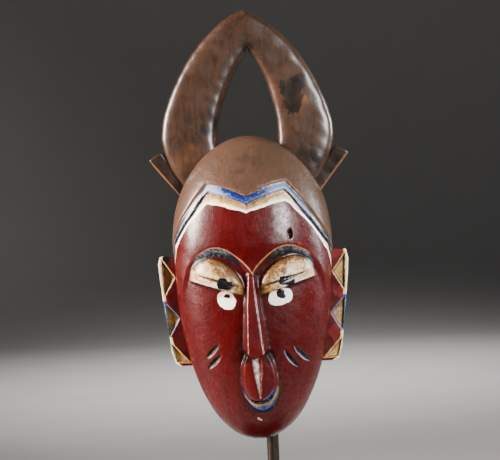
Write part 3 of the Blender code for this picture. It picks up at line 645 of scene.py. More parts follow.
def store_paint_lines(head):
    """Stores how far each point of the head lies inside each painted field."""
    x, forward, z = carving_space(coordinates(head))
    front = forward > SIDE_DEPTH + 1
    hair = above_band(x, forward, z, HAIRLINE)
    out_from_middle = np.abs(x - HAIR_MIDDLE)
    store(head, "hair", hair)
    store(head, "blue_band", np.minimum(above_band(x, forward, z, BLUE_EDGE), 2 - hair))
    store(head, "cream_band", above_band(x, forward, z, CREAM_EDGE))
    store(head, "band_side", ease(out_from_middle, 31, 42))
    # How far out from the middle the blue band takes its pale painted highlight
    store(head, "band_painted_highlight", ease(out_from_middle, 9, 30))
    brow = height_over(np.abs(x - BROW_MIDDLE), z, BROW_SMOOTH)
    out_from_nose = np.abs(x - BROW_MIDDLE)
    band = np.minimum(-1.0 - brow, height_over(out_from_nose, z, BROW_FOOT))
    inner_end = np.where(x > 0, 10.0, 5.0)
    band = band - 3.6 * (1 - ease(out_from_nose, inner_end, inner_end + 12))
    band = band - 3.0 * ease(out_from_nose, 50, 61)
    raised = front & (z > 140)
    store(head, "brow", np.where(raised, brow, -90))
    store(head, "brow_band", np.where(raised, band, -90))
    # The brow's edge line: gold paint on the right, a fainter pink painted highlight on the left
    store(head, "brow_line", np.where(x > 0, 0.75, 0.35) * (1 - ease(out_from_nose, 42, 58)))
    # Where the black brow band takes a grey painted sheen
    store(head, "brow_painted_sheen", ease(out_from_nose, 16, 30) * (1 - ease(out_from_nose, 48, 60)))
    lids = []
    slits = []
    darker_shares = []
    for side in (-1, 1):
        along, up = eye_frame(x, z, side)
        skewed = along - LID_SKEW * np.clip(up, 0, None)
        reach = np.hypot(skewed / LID_HALF_LENGTH, np.clip(up, 0, None) / LID_HEIGHT)
        lids.append(inside_lid(along, up))
        slits.append(-slit_distance(along, up))
        # Each lid darker towards its top edge under the brow and its inner corner, lighter outwards
        darker_shares.append(0.75 * ease(reach, 0.72, 0.98) * ease(up, 6, 12) + 0.8 * ease(-along, 4, 24)
                      + 0.25 * ease(up, 8, 16) - 0.35 * ease(along, 2, 18))
    which = np.argmax(np.stack(lids), axis=0)
    store(head, "lid", np.where(front, nearest(*lids), -90))
    store(head, "slit", np.where(front, nearest(*slits), -90))
    store(head, "lid_darker_share", np.stack(darker_shares)[which, np.arange(len(x))])
    for name, spots in (("pupil", PUPILS), ("eye_white", EYE_WHITES), ("eye_dot", EYE_DOTS),
                        ("pink_worn", PINK_WORN), ("chip", CREAM_CHIPS), ("red_dot", [RED_DOT])):
        power = 3.0 if name == "pupil" else 2.4
        store(head, name, np.where(front | (name == "chip"),
                                   nearest(*[inside_oval(x, z, *spot, power) for spot in spots]), -90))
    middle = x - lean_at(z)
    board = distance_to(middle, z, MOUTH_OUTLINE)
    over_slit = height_over(middle, z, SLIT_SMOOTH)
    inside_lip = np.where(front, board + 1.0, -90)
    store(head, "lip", np.minimum(-over_slit, inside_lip))
    store(head, "lip_gold", np.minimum(1.1 - np.abs(-over_slit - 2.4), inside_lip))
    store(head, "lip_over", np.min(np.stack([over_slit, 2.6 - over_slit, middle - 2, 11.5 - middle,
                                             inside_lip]), axis=0))
    off_groove, groove_reach, groove_share = philtrum(middle, z)
    # Left wall of the groove under the nose, painted pale white and pink as a painted highlight
    philtrum_painted_highlight = np.minimum(-off_groove - 0.3, groove_reach + off_groove - 1.6)
    store(head, "philtrum_painted_highlight", np.where(front & (board > 2) & (z < 80), np.minimum(philtrum_painted_highlight, z - 44), -90))
    # Ovals either side of the nose's foot, painted near black as the shadow under the nose
    store(head, "nose_painted_shadow", np.where(front, inside_oval(np.abs(middle), z, (11.5, 81.5), (4.5, 6.5)), -90))
    store(head, "mouth_line", np.where(front & (board > -1), -np.abs(over_slit)
                                       - 1.4 * ease(np.abs(middle + 3), 7, 13), -90))
    # Line round the lower mouth board's foot, painted black as the shadow under the lip
    store(head, "mouth_painted_shadow_line", np.where(front & (z < 60), -np.abs(board + 0.6), -90))
    store(head, "mouth_side", np.where(front & (middle > 8) & (z < 66), -np.abs(board - 0.6), -90))
    cuts = [cut_distance(x, z, cut) for cut in CHEEK_CUTS]
    store(head, "cut", np.where(front, nearest(*[-edge for edge, across, width in cuts]), -90))
    nearest_cut = np.argmin(np.stack([edge for edge, across, width in cuts]), axis=0)
    from_foot = np.stack([across + width for edge, across, width in cuts])[nearest_cut, np.arange(len(x))]
    # Which side of each cheek cut is its lower wall, which is painted pale as the lit wall
    store(head, "cut_lit_side", np.where(x < 0, -0.1, 0.9) - from_foot)
    store(head, "right_half", (x > 0).astype(float))
    # The small hole in the forehead, painted black inside as painted shade
    store(head, "hole", np.where(front, inside_oval(x, z, HOLE_PLACE, (1.8, 4.2)), -90))
    store(head, "hollow", np.maximum(1.09 - hollow_share(x, forward, z),
                                     np.where(forward < 1.2, 1.0, -1.0)))


def hook_rod():
    """The round rod behind the chin, whose top bends forward and up into the hollow."""
    rod_x = (rod_low.x + rod_high.x) / 2
    radius = (rod_high.x - rod_low.x) / 2
    behind = rod_high.y - radius
    front = rod_low.y + radius
    bend = CHIN + HOOK_BEND * MM
    rise = rod_high.z - bend
    share = np.linspace(0, 1, 48)
    y = np.concatenate([np.full(120, behind), behind + (front - behind) * ease(share, 0, 1), [front]])
    z = np.concatenate([np.linspace(rod_low.z, bend, 120, endpoint=False),
                        bend + rise * 0.85 * share, [rod_high.z]])
    run = np.stack([y, z], axis=1)
    along = np.gradient(run, axis=0)
    along /= np.linalg.norm(along, axis=1)[:, None]
    along[0] = along[-1] = (0, 1)
    turn = np.linspace(0, 2 * math.pi, 49)[None, :]
    edge = 0.0006
    ends = [(0.0, 0.0), (radius - edge, 0.0), (radius, edge)]
    rings = [(run[0, 0], run[0, 1] + up, along[0], r) for r, up in ends]
    rings += [(run[i, 0], run[i, 1], along[i], radius) for i in range(1, len(run) - 1)]
    rings += [(run[-1, 0], run[-1, 1] - up, along[-1], r) for r, up in reversed(ends)]
    places = []
    for middle_y, middle_z, (dy, dz), r in rings:
        across = r * np.cos(turn[0])
        out = r * np.sin(turn[0])
        places.append(np.stack([rod_x + across, middle_y - out * dz, middle_z + out * dy], axis=1))
    return shaped_grid("hook_rod", len(rings), 49, np.concatenate(places))


def stand_foot():
    """The flat plate under the stand, its upper edges rounded, with a socket for the rod."""
    deselect()
    bpy.ops.mesh.primitive_cube_add(size=1.0, location=(0, 0, 0))
    plate = bpy.context.object
    plate.name = "stand_foot"
    plate.data.name = "stand_foot"
    middle = (foot_high + foot_low) / 2
    plate.scale = foot_high - foot_low
    plate.location = middle
    bpy.ops.object.transform_apply(location=True, rotation=False, scale=True)
    bpy.ops.object.mode_set(mode="EDIT")
    bpy.ops.mesh.select_all(action="DESELECT")
    bpy.ops.object.mode_set(mode="OBJECT")
    for edge in plate.data.edges:
        ends = [plate.data.vertices[index].co for index in edge.vertices]
        edge.select = any(end.z > middle.z for end in ends)
    bpy.ops.object.mode_set(mode="EDIT")
    bpy.context.tool_settings.mesh_select_mode = (False, True, False)
    bpy.ops.mesh.bevel(offset=FOOT_EDGE, segments=5, affect="EDGES")
    bpy.ops.mesh.select_all(action="SELECT")
    bpy.ops.mesh.normals_make_consistent(inside=False)
    bpy.ops.object.mode_set(mode="OBJECT")
    radius = (rod_high.x - rod_low.x) / 2
    place = ((rod_low.x + rod_high.x) / 2, rod_high.y - radius, foot_high.z)
    deselect()
    bpy.ops.mesh.primitive_cylinder_add(vertices=64, radius=radius + SOCKET_FIT, depth=2 * SOCKET_DEPTH,
                                        location=place)
    socket = bpy.context.object
    apply_step(plate, "BOOLEAN", operation="DIFFERENCE", solver="EXACT", object=socket)
    bpy.data.objects.remove(socket, do_unlink=True)
    return plate


pieces = {"carved_head": carved_head(), "horn_arch": horn_arch()}
for side in (-1, 1):
    for piece in (horn_stub(side), side_board(side)):
        pieces[piece.name] = piece
for name, piece in pieces.items():
    make_uneven(piece, 0.12 if name == "carved_head" else 0.22)
pieces["hook_rod"] = hook_rod()
pieces["stand_foot"] = stand_foot()
for name, piece in pieces.items():
    only(piece)
    if name == "stand_foot":
        bpy.ops.object.shade_smooth_by_angle(angle=math.radians(25))
    else:
        bpy.ops.object.shade_smooth()
    x, forward, z = carving_space(coordinates(piece))
    store(piece, "worn", edge_sharpness(piece))
    store(piece, "patch", nearest(*[inside_oval(x, z, *spot) for spot in DARK_PATCHES]))
    if name == "carved_head":
        store_paint_lines(piece)
    if name.startswith("horn_stub"):
        # Marks the bars behind the horns, whose finish darkens them as painted shade of the horns
        store(piece, "stub", np.ones(len(x)))
        store(piece, "stub_edge", 0.8 - np.abs(distance_to(np.abs(x), z, STUB_LOW)))
    if name == "horn_arch":
        store(piece, "stub_edge", np.full(len(x), -90.0))
    if name.startswith("side_board"):
        store(piece, "pit", np.where(forward > BOARD_FRONT - PIT_DEPTH - 1.5,
                                     inside_pit(np.abs(x), z), -90))
        store(piece, "chalk", nearest(*[inside_oval(x, z, *spot) for spot in CHALKY]))
        store(piece, "top_spot", np.where(forward > 14, inside_oval(x, z, *TOP_SPOT), -90))
        store(piece, "blue_rim", ease(z, 95, 101) * (1 - ease(z, 128, 136)))
        board_edge = np.interp(z, *np.array(BOARD_OUTER).T[::-1])
        store(piece, "outer_rim", np.where(forward > 10, 2.4 - (board_edge - np.abs(x)), -90))


def srgb(red, green, blue):
    """A colour as picked from a picture, as the numbers the shader wants."""
    return tuple(((c / 255 + 0.055) / 1.055) ** 2.4 if c > 10 else c / 255 / 12.92
                 for c in (red, green, blue)) + (1.0,)


# Paints and woods
RED = srgb(67, 1, 2)
RED_DEEP = srgb(34, 0, 1)
RED_CHALKY = srgb(104, 28, 30)
RED_BRIGHT = srgb(120, 2, 4)
CREAM = srgb(236, 212, 160)
CREAM_STAINED = srgb(160, 104, 44)
LID_CREAM = srgb(220, 180, 118)
LID_STAINED = srgb(94, 64, 32)
PINK = srgb(206, 158, 140)
BLUE = srgb(14, 34, 98)
BLUE_DEEP = srgb(8, 13, 38)
BLUE_WORN = srgb(112, 138, 186)
# Pale blue, for painted highlights on the blue band and in the cheek cuts
BLUE_HIGHLIGHT = srgb(140, 154, 194)
BLACK = srgb(9, 10, 14)
# Grey, for worn black paint and for painted sheen and lit walls
BLACK_RUBBED_AND_SHEEN = srgb(112, 118, 128)
WHITE = srgb(250, 247, 240)
GOLD = srgb(166, 130, 62)
GOLD_STAINED = srgb(80, 52, 22)
ORANGE_WORN = srgb(138, 84, 40)
UMBER = srgb(50, 26, 10)
PATINA = srgb(52, 35, 25)
PATINA_DARK = srgb(12, 9, 8)
PATINA_WARM = srgb(88, 56, 36)
HAIR_BROWN = srgb(92, 70, 57)
# Near black for the painted shadow under the nose
NOSE_PAINTED_SHADOW = srgb(20, 3, 3)
OLIVE_GOLD = srgb(112, 92, 52)
BARE_WOOD = srgb(104, 74, 48)
BARE_DARK = srgb(46, 31, 21)


class Sketch:
    """Adds nodes to one material or group and joins them up."""

    def __init__(self, tree):
        self.tree = tree

    def give(self, node, name, value):
        """Links a node's input to a socket, or sets it to a plain value."""
        if isinstance(value, bpy.types.NodeSocket):
            self.tree.links.new(value, node.inputs[name])
        else:
            node.inputs[name].default_value = value

    def add(self, kind, inputs, output, **settings):
        made = self.tree.nodes.new(kind)
        for name, value in settings.items():
            setattr(made, name, value)
        for name, value in inputs.items():
            self.give(made, name, value)
        return made.outputs[output]

    def math(self, operation, first, second=0.0, third=0.0):
        return self.add("ShaderNodeMath", {0: first, 1: second, 2: third}, 0, operation=operation)

    def times(self, first, second):
        return self.math("MULTIPLY", first, second)

    def plus(self, first, second):
        return self.math("ADD", first, second)

    def minus(self, first, second):
        return self.math("SUBTRACT", first, second)

    def larger(self, first, second):
        return self.math("MAXIMUM", first, second)

    def scaled(self, value, factor, start):
        """The value times a factor, from a starting value."""
        return self.math("MULTIPLY_ADD", value, factor, start)

    def mix(self, share, first, second):
        return self.add("ShaderNodeMix", {0: share, 6: first, 7: second}, 2, data_type="RGBA")

    def ramp(self, value, low, high, to_low=0.0, to_high=1.0):
        return self.add("ShaderNodeMapRange", {"Value": value, "From Min": low, "From Max": high,
                                               "To Min": to_low, "To Max": to_high},
                        "Result", interpolation_type="SMOOTHSTEP")

    def noise(self, scale, detail=4.0, roughness=0.55, distortion=0.0, place=None):
        return self.add("ShaderNodeTexNoise", {"Vector": place or self.place, "Scale": scale,
                                               "Detail": detail, "Roughness": roughness,
                                               "Distortion": distortion}, "Fac")

    def streaks(self, across, along, detail, roughness):
        """Noise drawn out into upright streaks."""
        place = self.add("ShaderNodeMapping", {"Vector": self.place, "Scale": (across, across, along)},
                         "Vector")
        return self.noise(1.0, detail, roughness, 0.0, place)

    def kept(self, name):
        """A value that is stored on the piece."""
        return self.add("ShaderNodeAttribute", {}, "Fac", attribute_name=name)

    def coat(self, clean, stained, rubbed, stain=0.5, rub=0.3):
        return self.add("ShaderNodeGroup", {"Place": self.place, "Clean": clean, "Stained": stained,
                                            "Rubbed": rubbed, "Stain": stain, "Rub": rub,
                                            "Worn": self.worn}, "Colour", node_tree=aged_paint)

    def field(self, distance, wobble, softness, missing):
        """A brushed field inside a distance, which is a socket or a stored value's name."""
        if isinstance(distance, str):
            distance = self.kept(distance)
        return self.add("ShaderNodeGroup", {"Distance": distance, "Place": self.place, "Wobble": wobble,
                                            "Softness": softness, "Missing": missing},
                        "Mask", node_tree=brushed_field)

    def strip(self, value, low, high):
        """Distance inside a strip between two values of a stored distance."""
        return self.math("MINIMUM", self.minus(value, low), self.minus(high, value))

    def painted(self, colour, layers):
        """Lays paints over a colour, each in its own field."""
        for paint, mask in layers:
            colour = self.mix(mask, colour, paint)
        return colour


def new_group(name, inputs, output, kind="NodeSocketFloat"):
    """An empty node group with a place, its other inputs and one output, and a sketch to fill it."""
    group = bpy.data.node_groups.new(name, "ShaderNodeTree")
    group.interface.new_socket("Place", in_out="INPUT", socket_type="NodeSocketVector")
    for label, start in inputs.items():
        socket_type = "NodeSocketFloat" if isinstance(start, float) else "NodeSocketColor"
        socket = group.interface.new_socket(label, in_out="INPUT", socket_type=socket_type)
        socket.default_value = start
    group.interface.new_socket(output, in_out="OUTPUT", socket_type=kind)
    sketch = Sketch(group)
    given = group.nodes.new("NodeGroupInput").outputs
    sketch.place = given["Place"]
    return group, sketch, given, group.nodes.new("NodeGroupOutput")


def make_brushed_field():
    """Turns a stored distance into a painted field with a hand-brushed edge and worn spots."""
    group, sketch, given, result = new_group(
        "brushed_field", {"Distance": 0.0, "Wobble": 0.8, "Softness": 0.25, "Missing": 0.3}, "Mask")
    wave = sketch.times(sketch.minus(sketch.noise(130.0, 4.0, 0.65), 0.5), given["Wobble"])
    soft = given["Softness"]
    edge = sketch.add("ShaderNodeMapRange", {"Value": sketch.scaled(wave, 3.0, given["Distance"]),
                                             "From Min": sketch.times(soft, -1.0), "From Max": soft},
                      "Result")
    chips = sketch.times(sketch.ramp(sketch.noise(380.0, 6.0, 0.75), 0.58, 0.66), given["Missing"])
    sketch.give(result, "Mask", sketch.times(edge, sketch.minus(1.0, chips)))
    return group


def make_aged_paint():
    """One coat of paint: its clean and stained colours mixed by brush streaks and blots, and darker in
    grooves.
    """
    group, sketch, given, result = new_group(
        "aged_paint", {"Clean": (1, 1, 1, 1), "Stained": (0, 0, 0, 1), "Rubbed": (1, 1, 1, 1), "Stain": 0.5,
                       "Rub": 0.3, "Worn": 0.0}, "Colour", "NodeSocketColor")
    times, plus, ramp = sketch.times, sketch.plus, sketch.ramp
    streaks = sketch.streaks(300.0, 70.0, 6.0, 0.68)
    blots = sketch.noise(30.0, 5.0, 0.62, 0.6)
    specks = sketch.noise(620.0, 4.0, 0.7)
    # Darker in grooves and hollows of the carving
    groove = ramp(given["Worn"], 0.01, -0.22)
    stain = plus(times(ramp(streaks, 0.36, 0.66), 0.50), times(ramp(blots, 0.38, 0.68), 0.62))
    dirt = times(ramp(specks, 0.60, 0.72), 0.35)
    stain = plus(plus(times(stain, given["Stain"]), dirt), groove)
    colour = sketch.mix(sketch.math("MINIMUM", stain, 1.0), given["Clean"], given["Stained"])
    rub = times(ramp(given["Worn"], 0.015, 0.24), ramp(plus(specks, times(streaks, 0.5)), 0.58, 0.84))
    dust = times(ramp(plus(specks, times(blots, 0.6)), 0.82, 1.02), 0.5)
    rub = times(sketch.larger(rub, dust), given["Rub"])
    sketch.give(result, "Colour", sketch.mix(rub, colour, given["Rubbed"]))
    return group


def make_carved_surface():
    """Fine height of the carved wood: grit under the paint, brush marks and small dents."""
    group, sketch, given, result = new_group("carved_surface", {"Grit": 0.5, "Brush": 0.5, "Dents": 0.5},
                                             "Height")
    height = sketch.times(sketch.noise(330.0, 4.0, 0.6), given["Grit"])
    height = sketch.scaled(sketch.streaks(460.0, 120.0, 5.0, 0.7), given["Brush"], height)
    height = sketch.scaled(sketch.noise(85.0, 4.0, 0.55), given["Dents"], height)
    sketch.give(result, "Height", height)
    return group


brushed_field = make_brushed_field()
aged_paint = make_aged_paint()
carved_surface = make_carved_surface()


def new_finish(name):
    """An empty material, and its sketch with its shader, the place on the piece and its worn edges."""
    material = bpy.data.materials.new(name)
    material.use_nodes = True
    sketch = Sketch(material.node_tree)
    sketch.shader = material.node_tree.nodes["Principled BSDF"]
    sketch.place = sketch.add("ShaderNodeTexCoord", {}, "Object")
    sketch.worn = sketch.kept("worn")
    return material, sketch


def finish_surface(sketch, colour, roughness, height, depth, steady):
    """Joins colour, roughness and fine relief to the shader, and sets its steady values."""
    bump = sketch.add("ShaderNodeBump", {"Height": height, "Strength": 1.0, "Distance": depth}, "Normal")
    for name, value in {"Base Color": colour, "Roughness": roughness, "Normal": bump, **steady}.items():
        sketch.give(sketch.shader, name, value)


def carved_height(sketch, grit, brush, dents):
    return sketch.add("ShaderNodeGroup", {"Place": sketch.place, "Grit": grit, "Brush": brush,
                                          "Dents": dents}, "Height", node_tree=carved_surface)


def patina_colour(sketch):
    """The dark crest: brown-black, darker in patches, rubbed warm on its edges."""
    base = sketch.coat(PATINA, PATINA_DARK, PATINA_WARM, 0.8, 0.35)
    warm = sketch.ramp(sketch.noise(20.0, 6.0, 0.6, 0.4), 0.42, 0.80)
    base = sketch.mix(sketch.times(warm, 0.35), base, PATINA_WARM)
    edge = sketch.times(sketch.ramp(sketch.worn, 0.02, 0.16), sketch.ramp(
        sketch.noise(90.0, 5.0, 0.7), 0.40, 0.62))
    base = sketch.mix(sketch.times(edge, 0.4), base, ORANGE_WORN)
    patch = sketch.field("patch", 5.0, 0.8, 0.25)
    return sketch.mix(sketch.times(patch, 0.85), base, PATINA_DARK)


def make_dark_wood():
    material, sketch = new_finish("dark_wood")
    roughness = sketch.ramp(sketch.noise(60.0, 5.0, 0.65), 0.3, 0.7, 0.28, 0.50)
    # Bars behind the horns painted darker: painted shade of the horns
    colour = sketch.mix(sketch.times(sketch.kept("stub"), 0.6), patina_colour(sketch), PATINA_DARK)
    rubbed = sketch.field("stub_edge", 0.9, 0.8, 0.8)
    colour = sketch.mix(sketch.times(rubbed, 0.75), colour, ORANGE_WORN)
    finish_surface(sketch, colour, roughness, carved_height(sketch, 0.12, 0.4, 1.6), 0.00045,
                   {"Specular IOR Level": 0.16, "Coat Weight": 0.5, "Coat Roughness": 0.24})
    return material


def lid_paint(sketch):
    """Cream paint of the lids, darker gold and brown towards the brow and the nose."""
    light = sketch.coat(LID_CREAM, LID_STAINED, WHITE, 0.85, 0.9)
    dark = sketch.coat(LID_STAINED, UMBER, GOLD, 0.9, 0.9)
    cloud = sketch.minus(sketch.noise(150.0, 6.0, 0.75, 0.8), 0.5)
    share = sketch.scaled(cloud, 3.8, sketch.kept("lid_darker_share"))
    paint = sketch.mix(sketch.ramp(share, -0.25, 0.6), light, dark)
    specks = sketch.ramp(sketch.noise(340.0, 6.0, 0.8), 0.53, 0.64)
    return sketch.mix(sketch.times(specks, 0.6), paint, LID_STAINED)


def band_paints(sketch, cream):
    """Paints of the band under the hair: blue with a pale painted highlight over it, and the stained cream
    below.
    """
    kept, times, ramp, scaled = sketch.kept, sketch.times, sketch.ramp, sketch.scaled
    cloud = sketch.minus(sketch.noise(90.0, 5.0, 0.7, 0.6), 0.5)
    # Pale painted highlight on the blue band, less of it on the right half
    pale = ramp(scaled(cloud, 2.4, kept("band_painted_highlight")), 0.35, 0.95)
    pale = times(pale, scaled(kept("right_half"), -0.35, 0.8))
    blue = sketch.mix(pale, sketch.coat(BLUE, BLUE_DEEP, BLUE_WORN, 0.7, 0.9), BLUE_HIGHLIGHT)
    golden = sketch.coat(GOLD, UMBER, CREAM, 0.8, 0.8)
    near_blue = ramp(scaled(cloud, 6.0, kept("blue_band")), -6.6, -4.0)
    near_blue = times(near_blue, sketch.minus(1.0, times(kept("band_side"), 0.8)))
    cream = sketch.mix(times(near_blue, 0.9), cream, golden)
    low_edge = ramp(scaled(cloud, 5.0, kept("cream_band")), 2.6, 1.2)
    return blue, sketch.mix(low_edge, cream, WHITE)


def face_layers(sketch, hair, blue, black):
    """Every paint over the red of the face, painted shadows and highlights among them, in the order that it
    was laid on, with its field.
    """
    kept, field, coat = sketch.kept, sketch.field, sketch.coat
    times, plus, minus = sketch.times, sketch.plus, sketch.minus
    brow, blue_band = kept("brow"), kept("blue_band")
    side_share, right_half = kept("band_side"), kept("right_half")
    cream = coat(CREAM, CREAM_STAINED, WHITE, 0.35, 0.5)
    white = coat(WHITE, CREAM, WHITE, 0.12, 0.1)
    dull_gold = coat(OLIVE_GOLD, UMBER, GOLD, 0.9, 0.4)
    band_blue, band_cream = band_paints(sketch, cream)
    # Black lines along the blue band's lower edge and the hair's edge on the sides: painted shadow at the
    # steps
    band_shadow_line = minus(times(side_share, 1.6), sketch.math("ABSOLUTE", minus(blue_band, 0.5)))
    hair_shadow_line = minus(times(side_share, 0.9), sketch.math("ABSOLUTE", plus(hair, 0.6)))
    # Grey painted sheen on the top of the black brow band, broken up by noise
    rubbed = times(sketch.ramp(sketch.noise(260.0, 6.0, 0.75), 0.42, 0.60), kept("brow_painted_sheen"))
    rubbed = times(rubbed, sketch.ramp(brow, -5.5, -1.5))
    # Gold paint on the right brow edge, pink painted highlight on the left one
    brow_gold_and_pink_highlight = sketch.mix(right_half, PINK, coat(GOLD, GOLD_STAINED, CREAM, 0.75, 0.6))
    cut_dark = sketch.mix(right_half, coat(UMBER, BLACK, GOLD, 1.0, 0.3), black)
    # Inside the cheek cuts: dark paint, with the lower wall painted pale as a painted highlight
    cut_painted_lit_wall = sketch.mix(right_half, CREAM_STAINED, coat(BLACK_RUBBED_AND_SHEEN, BLUE_DEEP, BLUE_HIGHLIGHT, 0.8))
    streaks = sketch.ramp(sketch.noise(220.0, 5.0, 0.7), 0.38, 0.56, 0.25, 0.85)
    eye_white = field("eye_white", 0.9, 0.2, 0.0)
    hair_edge = minus(0.75, times(side_share, 0.7))
    return [
        (band_cream, field("cream_band", 0.7, 0.25, 0.12)),
        (band_blue, field(blue_band, 0.35, 0.25, 0.05)),
        (black, field(band_shadow_line, 0.5, 0.25, 0.15)),
        (black, field(hair_shadow_line, 0.4, 0.25, 0.2)),
        (sketch.mix(rubbed, black, BLACK_RUBBED_AND_SHEEN), field("brow_band", 0.5, 0.3, 0.08)),
        (brow_gold_and_pink_highlight, times(kept("brow_line"), field(sketch.strip(brow, -0.8, 0.2), 0.6, 0.3, 0.7))),
        (lid_paint(sketch), field(minus(kept("lid"), 0.4), 0.4, 0.3, 0.08)),
        (UMBER, field(plus(kept("slit"), 1.1), 0.35, 0.4, 0.2)),
        (white, eye_white),
        (PINK, times(field("pink_worn", 1.6, 1.0, 0.7), eye_white)),
        (BLACK, field("eye_dot", 1.8, 0.3, 0.1)),
        (BLACK, field("pupil", 1.6, 0.2, 0.0)),
        (blue, field("lip", 0.8, 0.3, 0.12)),
        (blue, field("lip_over", 0.8, 0.3, 0.3)),
        # Painted highlight on the groove's left wall
        (coat(WHITE, PINK, WHITE, 0.9, 0.8), times(field("philtrum_painted_highlight", 1.2, 1.4, 0.6), streaks)),
        # Painted shadow under the nose
        (NOSE_PAINTED_SHADOW, field("nose_painted_shadow", 1.2, 1.0, 0.1)),
        (dull_gold, field("lip_gold", 1.6, 0.8, 0.9)),
        (black, field(plus(kept("mouth_line"), 1.3), 0.6, 0.35, 0.0)),
        # Painted shadow round the foot of the mouth board
        (black, field(plus(kept("mouth_painted_shadow_line"), 0.5), 0.8, 0.4, 0.3)),
        (dull_gold, field(plus(kept("mouth_side"), 0.45), 0.9, 0.6, 0.8)),
        (sketch.mix(sketch.ramp(kept("cut_lit_side"), -0.3, 0.2), cut_dark, cut_painted_lit_wall),
         field("cut", 0.3, 0.2, 0.05)),
        # Painted shade inside the forehead hole
        (BLACK, field("hole", 0.2, 0.2, 0.0)),
        (RED_BRIGHT, field("red_dot", 0.8, 0.3, 0.0)),
        (cream, field("chip", 0.8, 0.25, 0.0)),
        (sketch.mix(0.35, patina_colour(sketch), HAIR_BROWN), field(hair, 0.25, 0.2, 0.0)),
        (CREAM_STAINED, times(field(sketch.strip(hair, -0.1, 0.5), 0.9, 0.3, 0.9), hair_edge)),
    ]


def make_face_paint():
    material, sketch = new_finish("face_paint")
    kept, field, coat = sketch.kept, sketch.field, sketch.coat
    times, scaled, ramp, larger = sketch.times, sketch.scaled, sketch.ramp, sketch.larger
    hair = kept("hair")
    blue = coat(BLUE, BLUE_DEEP, BLUE_WORN, 0.8, 0.4)
    black = coat(BLACK, BLACK, BLACK_RUBBED_AND_SHEEN, 0.3, 0.7)
    colour = sketch.painted(coat(RED, RED_DEEP, RED_CHALKY, 0.62, 0.32),
                            face_layers(sketch, hair, blue, black))
    hollow = field("hollow", 0.02, 0.02, 0.0)
    colour = sketch.mix(hollow, colour, coat(BARE_WOOD, BARE_DARK, PATINA_WARM, 0.9, 0.5))
    wet = field(larger(kept("pupil"), kept("hole")), 0.8, 0.2, 0.0)
    roughness = ramp(sketch.noise(70.0, 5.0, 0.65), 0.3, 0.7, 0.22, 0.44)
    roughness = larger(scaled(wet, -0.10, roughness), times(hollow, 0.72))
    dull = larger(larger(kept("cut"), kept("eye_dot")), larger(kept("lip"), kept("nose_painted_shadow")))
    dull = larger(ramp(dull, -0.4, 0.6), hollow)
    dull = larger(dull, times(ramp(hair, -0.5, 0.5), scaled(kept("right_half"), 0.45, 0.3)))
    gloss = times(ramp(sketch.noise(300.0, 5.0, 0.75), 0.36, 0.60, 0.35, 1.0), scaled(dull, -0.66, 0.7))
    finish_surface(sketch, colour, roughness, carved_height(sketch, 1.4, 0.8, 1.3), 0.0004,
                   {"Specular IOR Level": 0.07, "Coat Weight": gloss, "Coat Roughness": 0.26})
    return material


def make_board_paint():
    material, sketch = new_finish("board_paint")
    kept, field, coat = sketch.kept, sketch.field, sketch.coat
    pit = kept("pit")
    blue = coat(BLUE, BLUE_DEEP, BLUE_WORN, 0.6, 0.9)
    chalk = sketch.times(field("chalk", 5.0, 1.6, 0.4), 0.75)
    red = sketch.mix(chalk, coat(RED, RED_DEEP, RED_CHALKY, 0.75, 0.9), RED_CHALKY)
    blue_share = sketch.ramp(kept("blue_rim"), 0.35, 0.65)
    rim = sketch.mix(blue_share, coat(CREAM, CREAM_STAINED, WHITE, 0.55, 0.7), blue)
    pit_rim = sketch.mix(blue_share, coat(CREAM_STAINED, GOLD_STAINED, CREAM, 0.6, 0.9), blue)
    colour = sketch.painted(red, [
        (BLACK, field("top_spot", 1.2, 0.5, 0.1)),
        (pit_rim, field(sketch.strip(pit, -0.7, 0.4), 0.9, 0.4, 0.7)),
        (rim, field("outer_rim", 1.4, 0.5, 0.6)),
        (coat(GOLD, GOLD_STAINED, CREAM, 0.95, 0.8), field(sketch.minus(pit, 0.3), 0.4, 0.3, 0.05)),
    ])
    roughness = sketch.ramp(sketch.noise(80.0), 0.3, 0.7, 0.28, 0.48)
    finish_surface(sketch, colour, roughness, carved_height(sketch, 0.45, 0.6, 1.3), 0.0004,
                   {"Specular IOR Level": 0.2, "Coat Weight": 0.35, "Coat Roughness": 0.26})
    return material


def make_steel(name, base, dark, warm, roughness_low, roughness_high, metallic):
    """Bare or blacked steel with blotches, fine scratches and rubbed edges."""
    material, sketch = new_finish(name)
    times, ramp = sketch.times, sketch.ramp
    blots = sketch.noise(55.0, 6.0, 0.7, 0.8)
    scratches = sketch.streaks(1600.0, 90.0, 3.0, 0.6)
    colour = sketch.mix(ramp(blots, 0.45, 0.62), base, dark)
    colour = sketch.mix(times(ramp(blots, 0.42, 0.30), 0.6), colour, warm)
    colour = sketch.mix(times(ramp(sketch.worn, 0.01, 0.10), 0.5), colour, warm)
    roughness = ramp(sketch.plus(times(blots, 0.6), times(scratches, 0.4)), 0.35, 0.65,
                     roughness_low, roughness_high)
    finish_surface(sketch, colour, roughness, sketch.scaled(scratches, 0.25, blots), 0.00012,
                   {"Metallic": metallic})
    return material


# What each piece's name starts with: its finish, its material slot and the solid it stands for
FINISHES = {
    "carved_head": (make_face_paint(), "painted_wood", "mask"),
    "horn": (make_dark_wood(), "painted_wood", "mask"),
    "side_board": (make_board_paint(), "painted_wood", "mask"),
    "hook_rod": (make_steel("rod_steel", srgb(52, 50, 50), srgb(12, 12, 12), srgb(84, 68, 58),
                            0.20, 0.42, 0.9), "rod_steel", "stand_rod"),
    "stand_foot": (make_steel("foot_steel", srgb(26, 26, 28), srgb(14, 14, 15), srgb(70, 68, 66),
                              0.42, 0.62, 0.35), "foot_steel", "foot_plate"),
}
for name, piece in pieces.items():
    finish, slot, node = next(FINISHES[start] for start in FINISHES if name.startswith(start))
    piece.data.materials.clear()
    piece.data.materials.append(finish)
    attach(piece, "root")
    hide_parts(node)

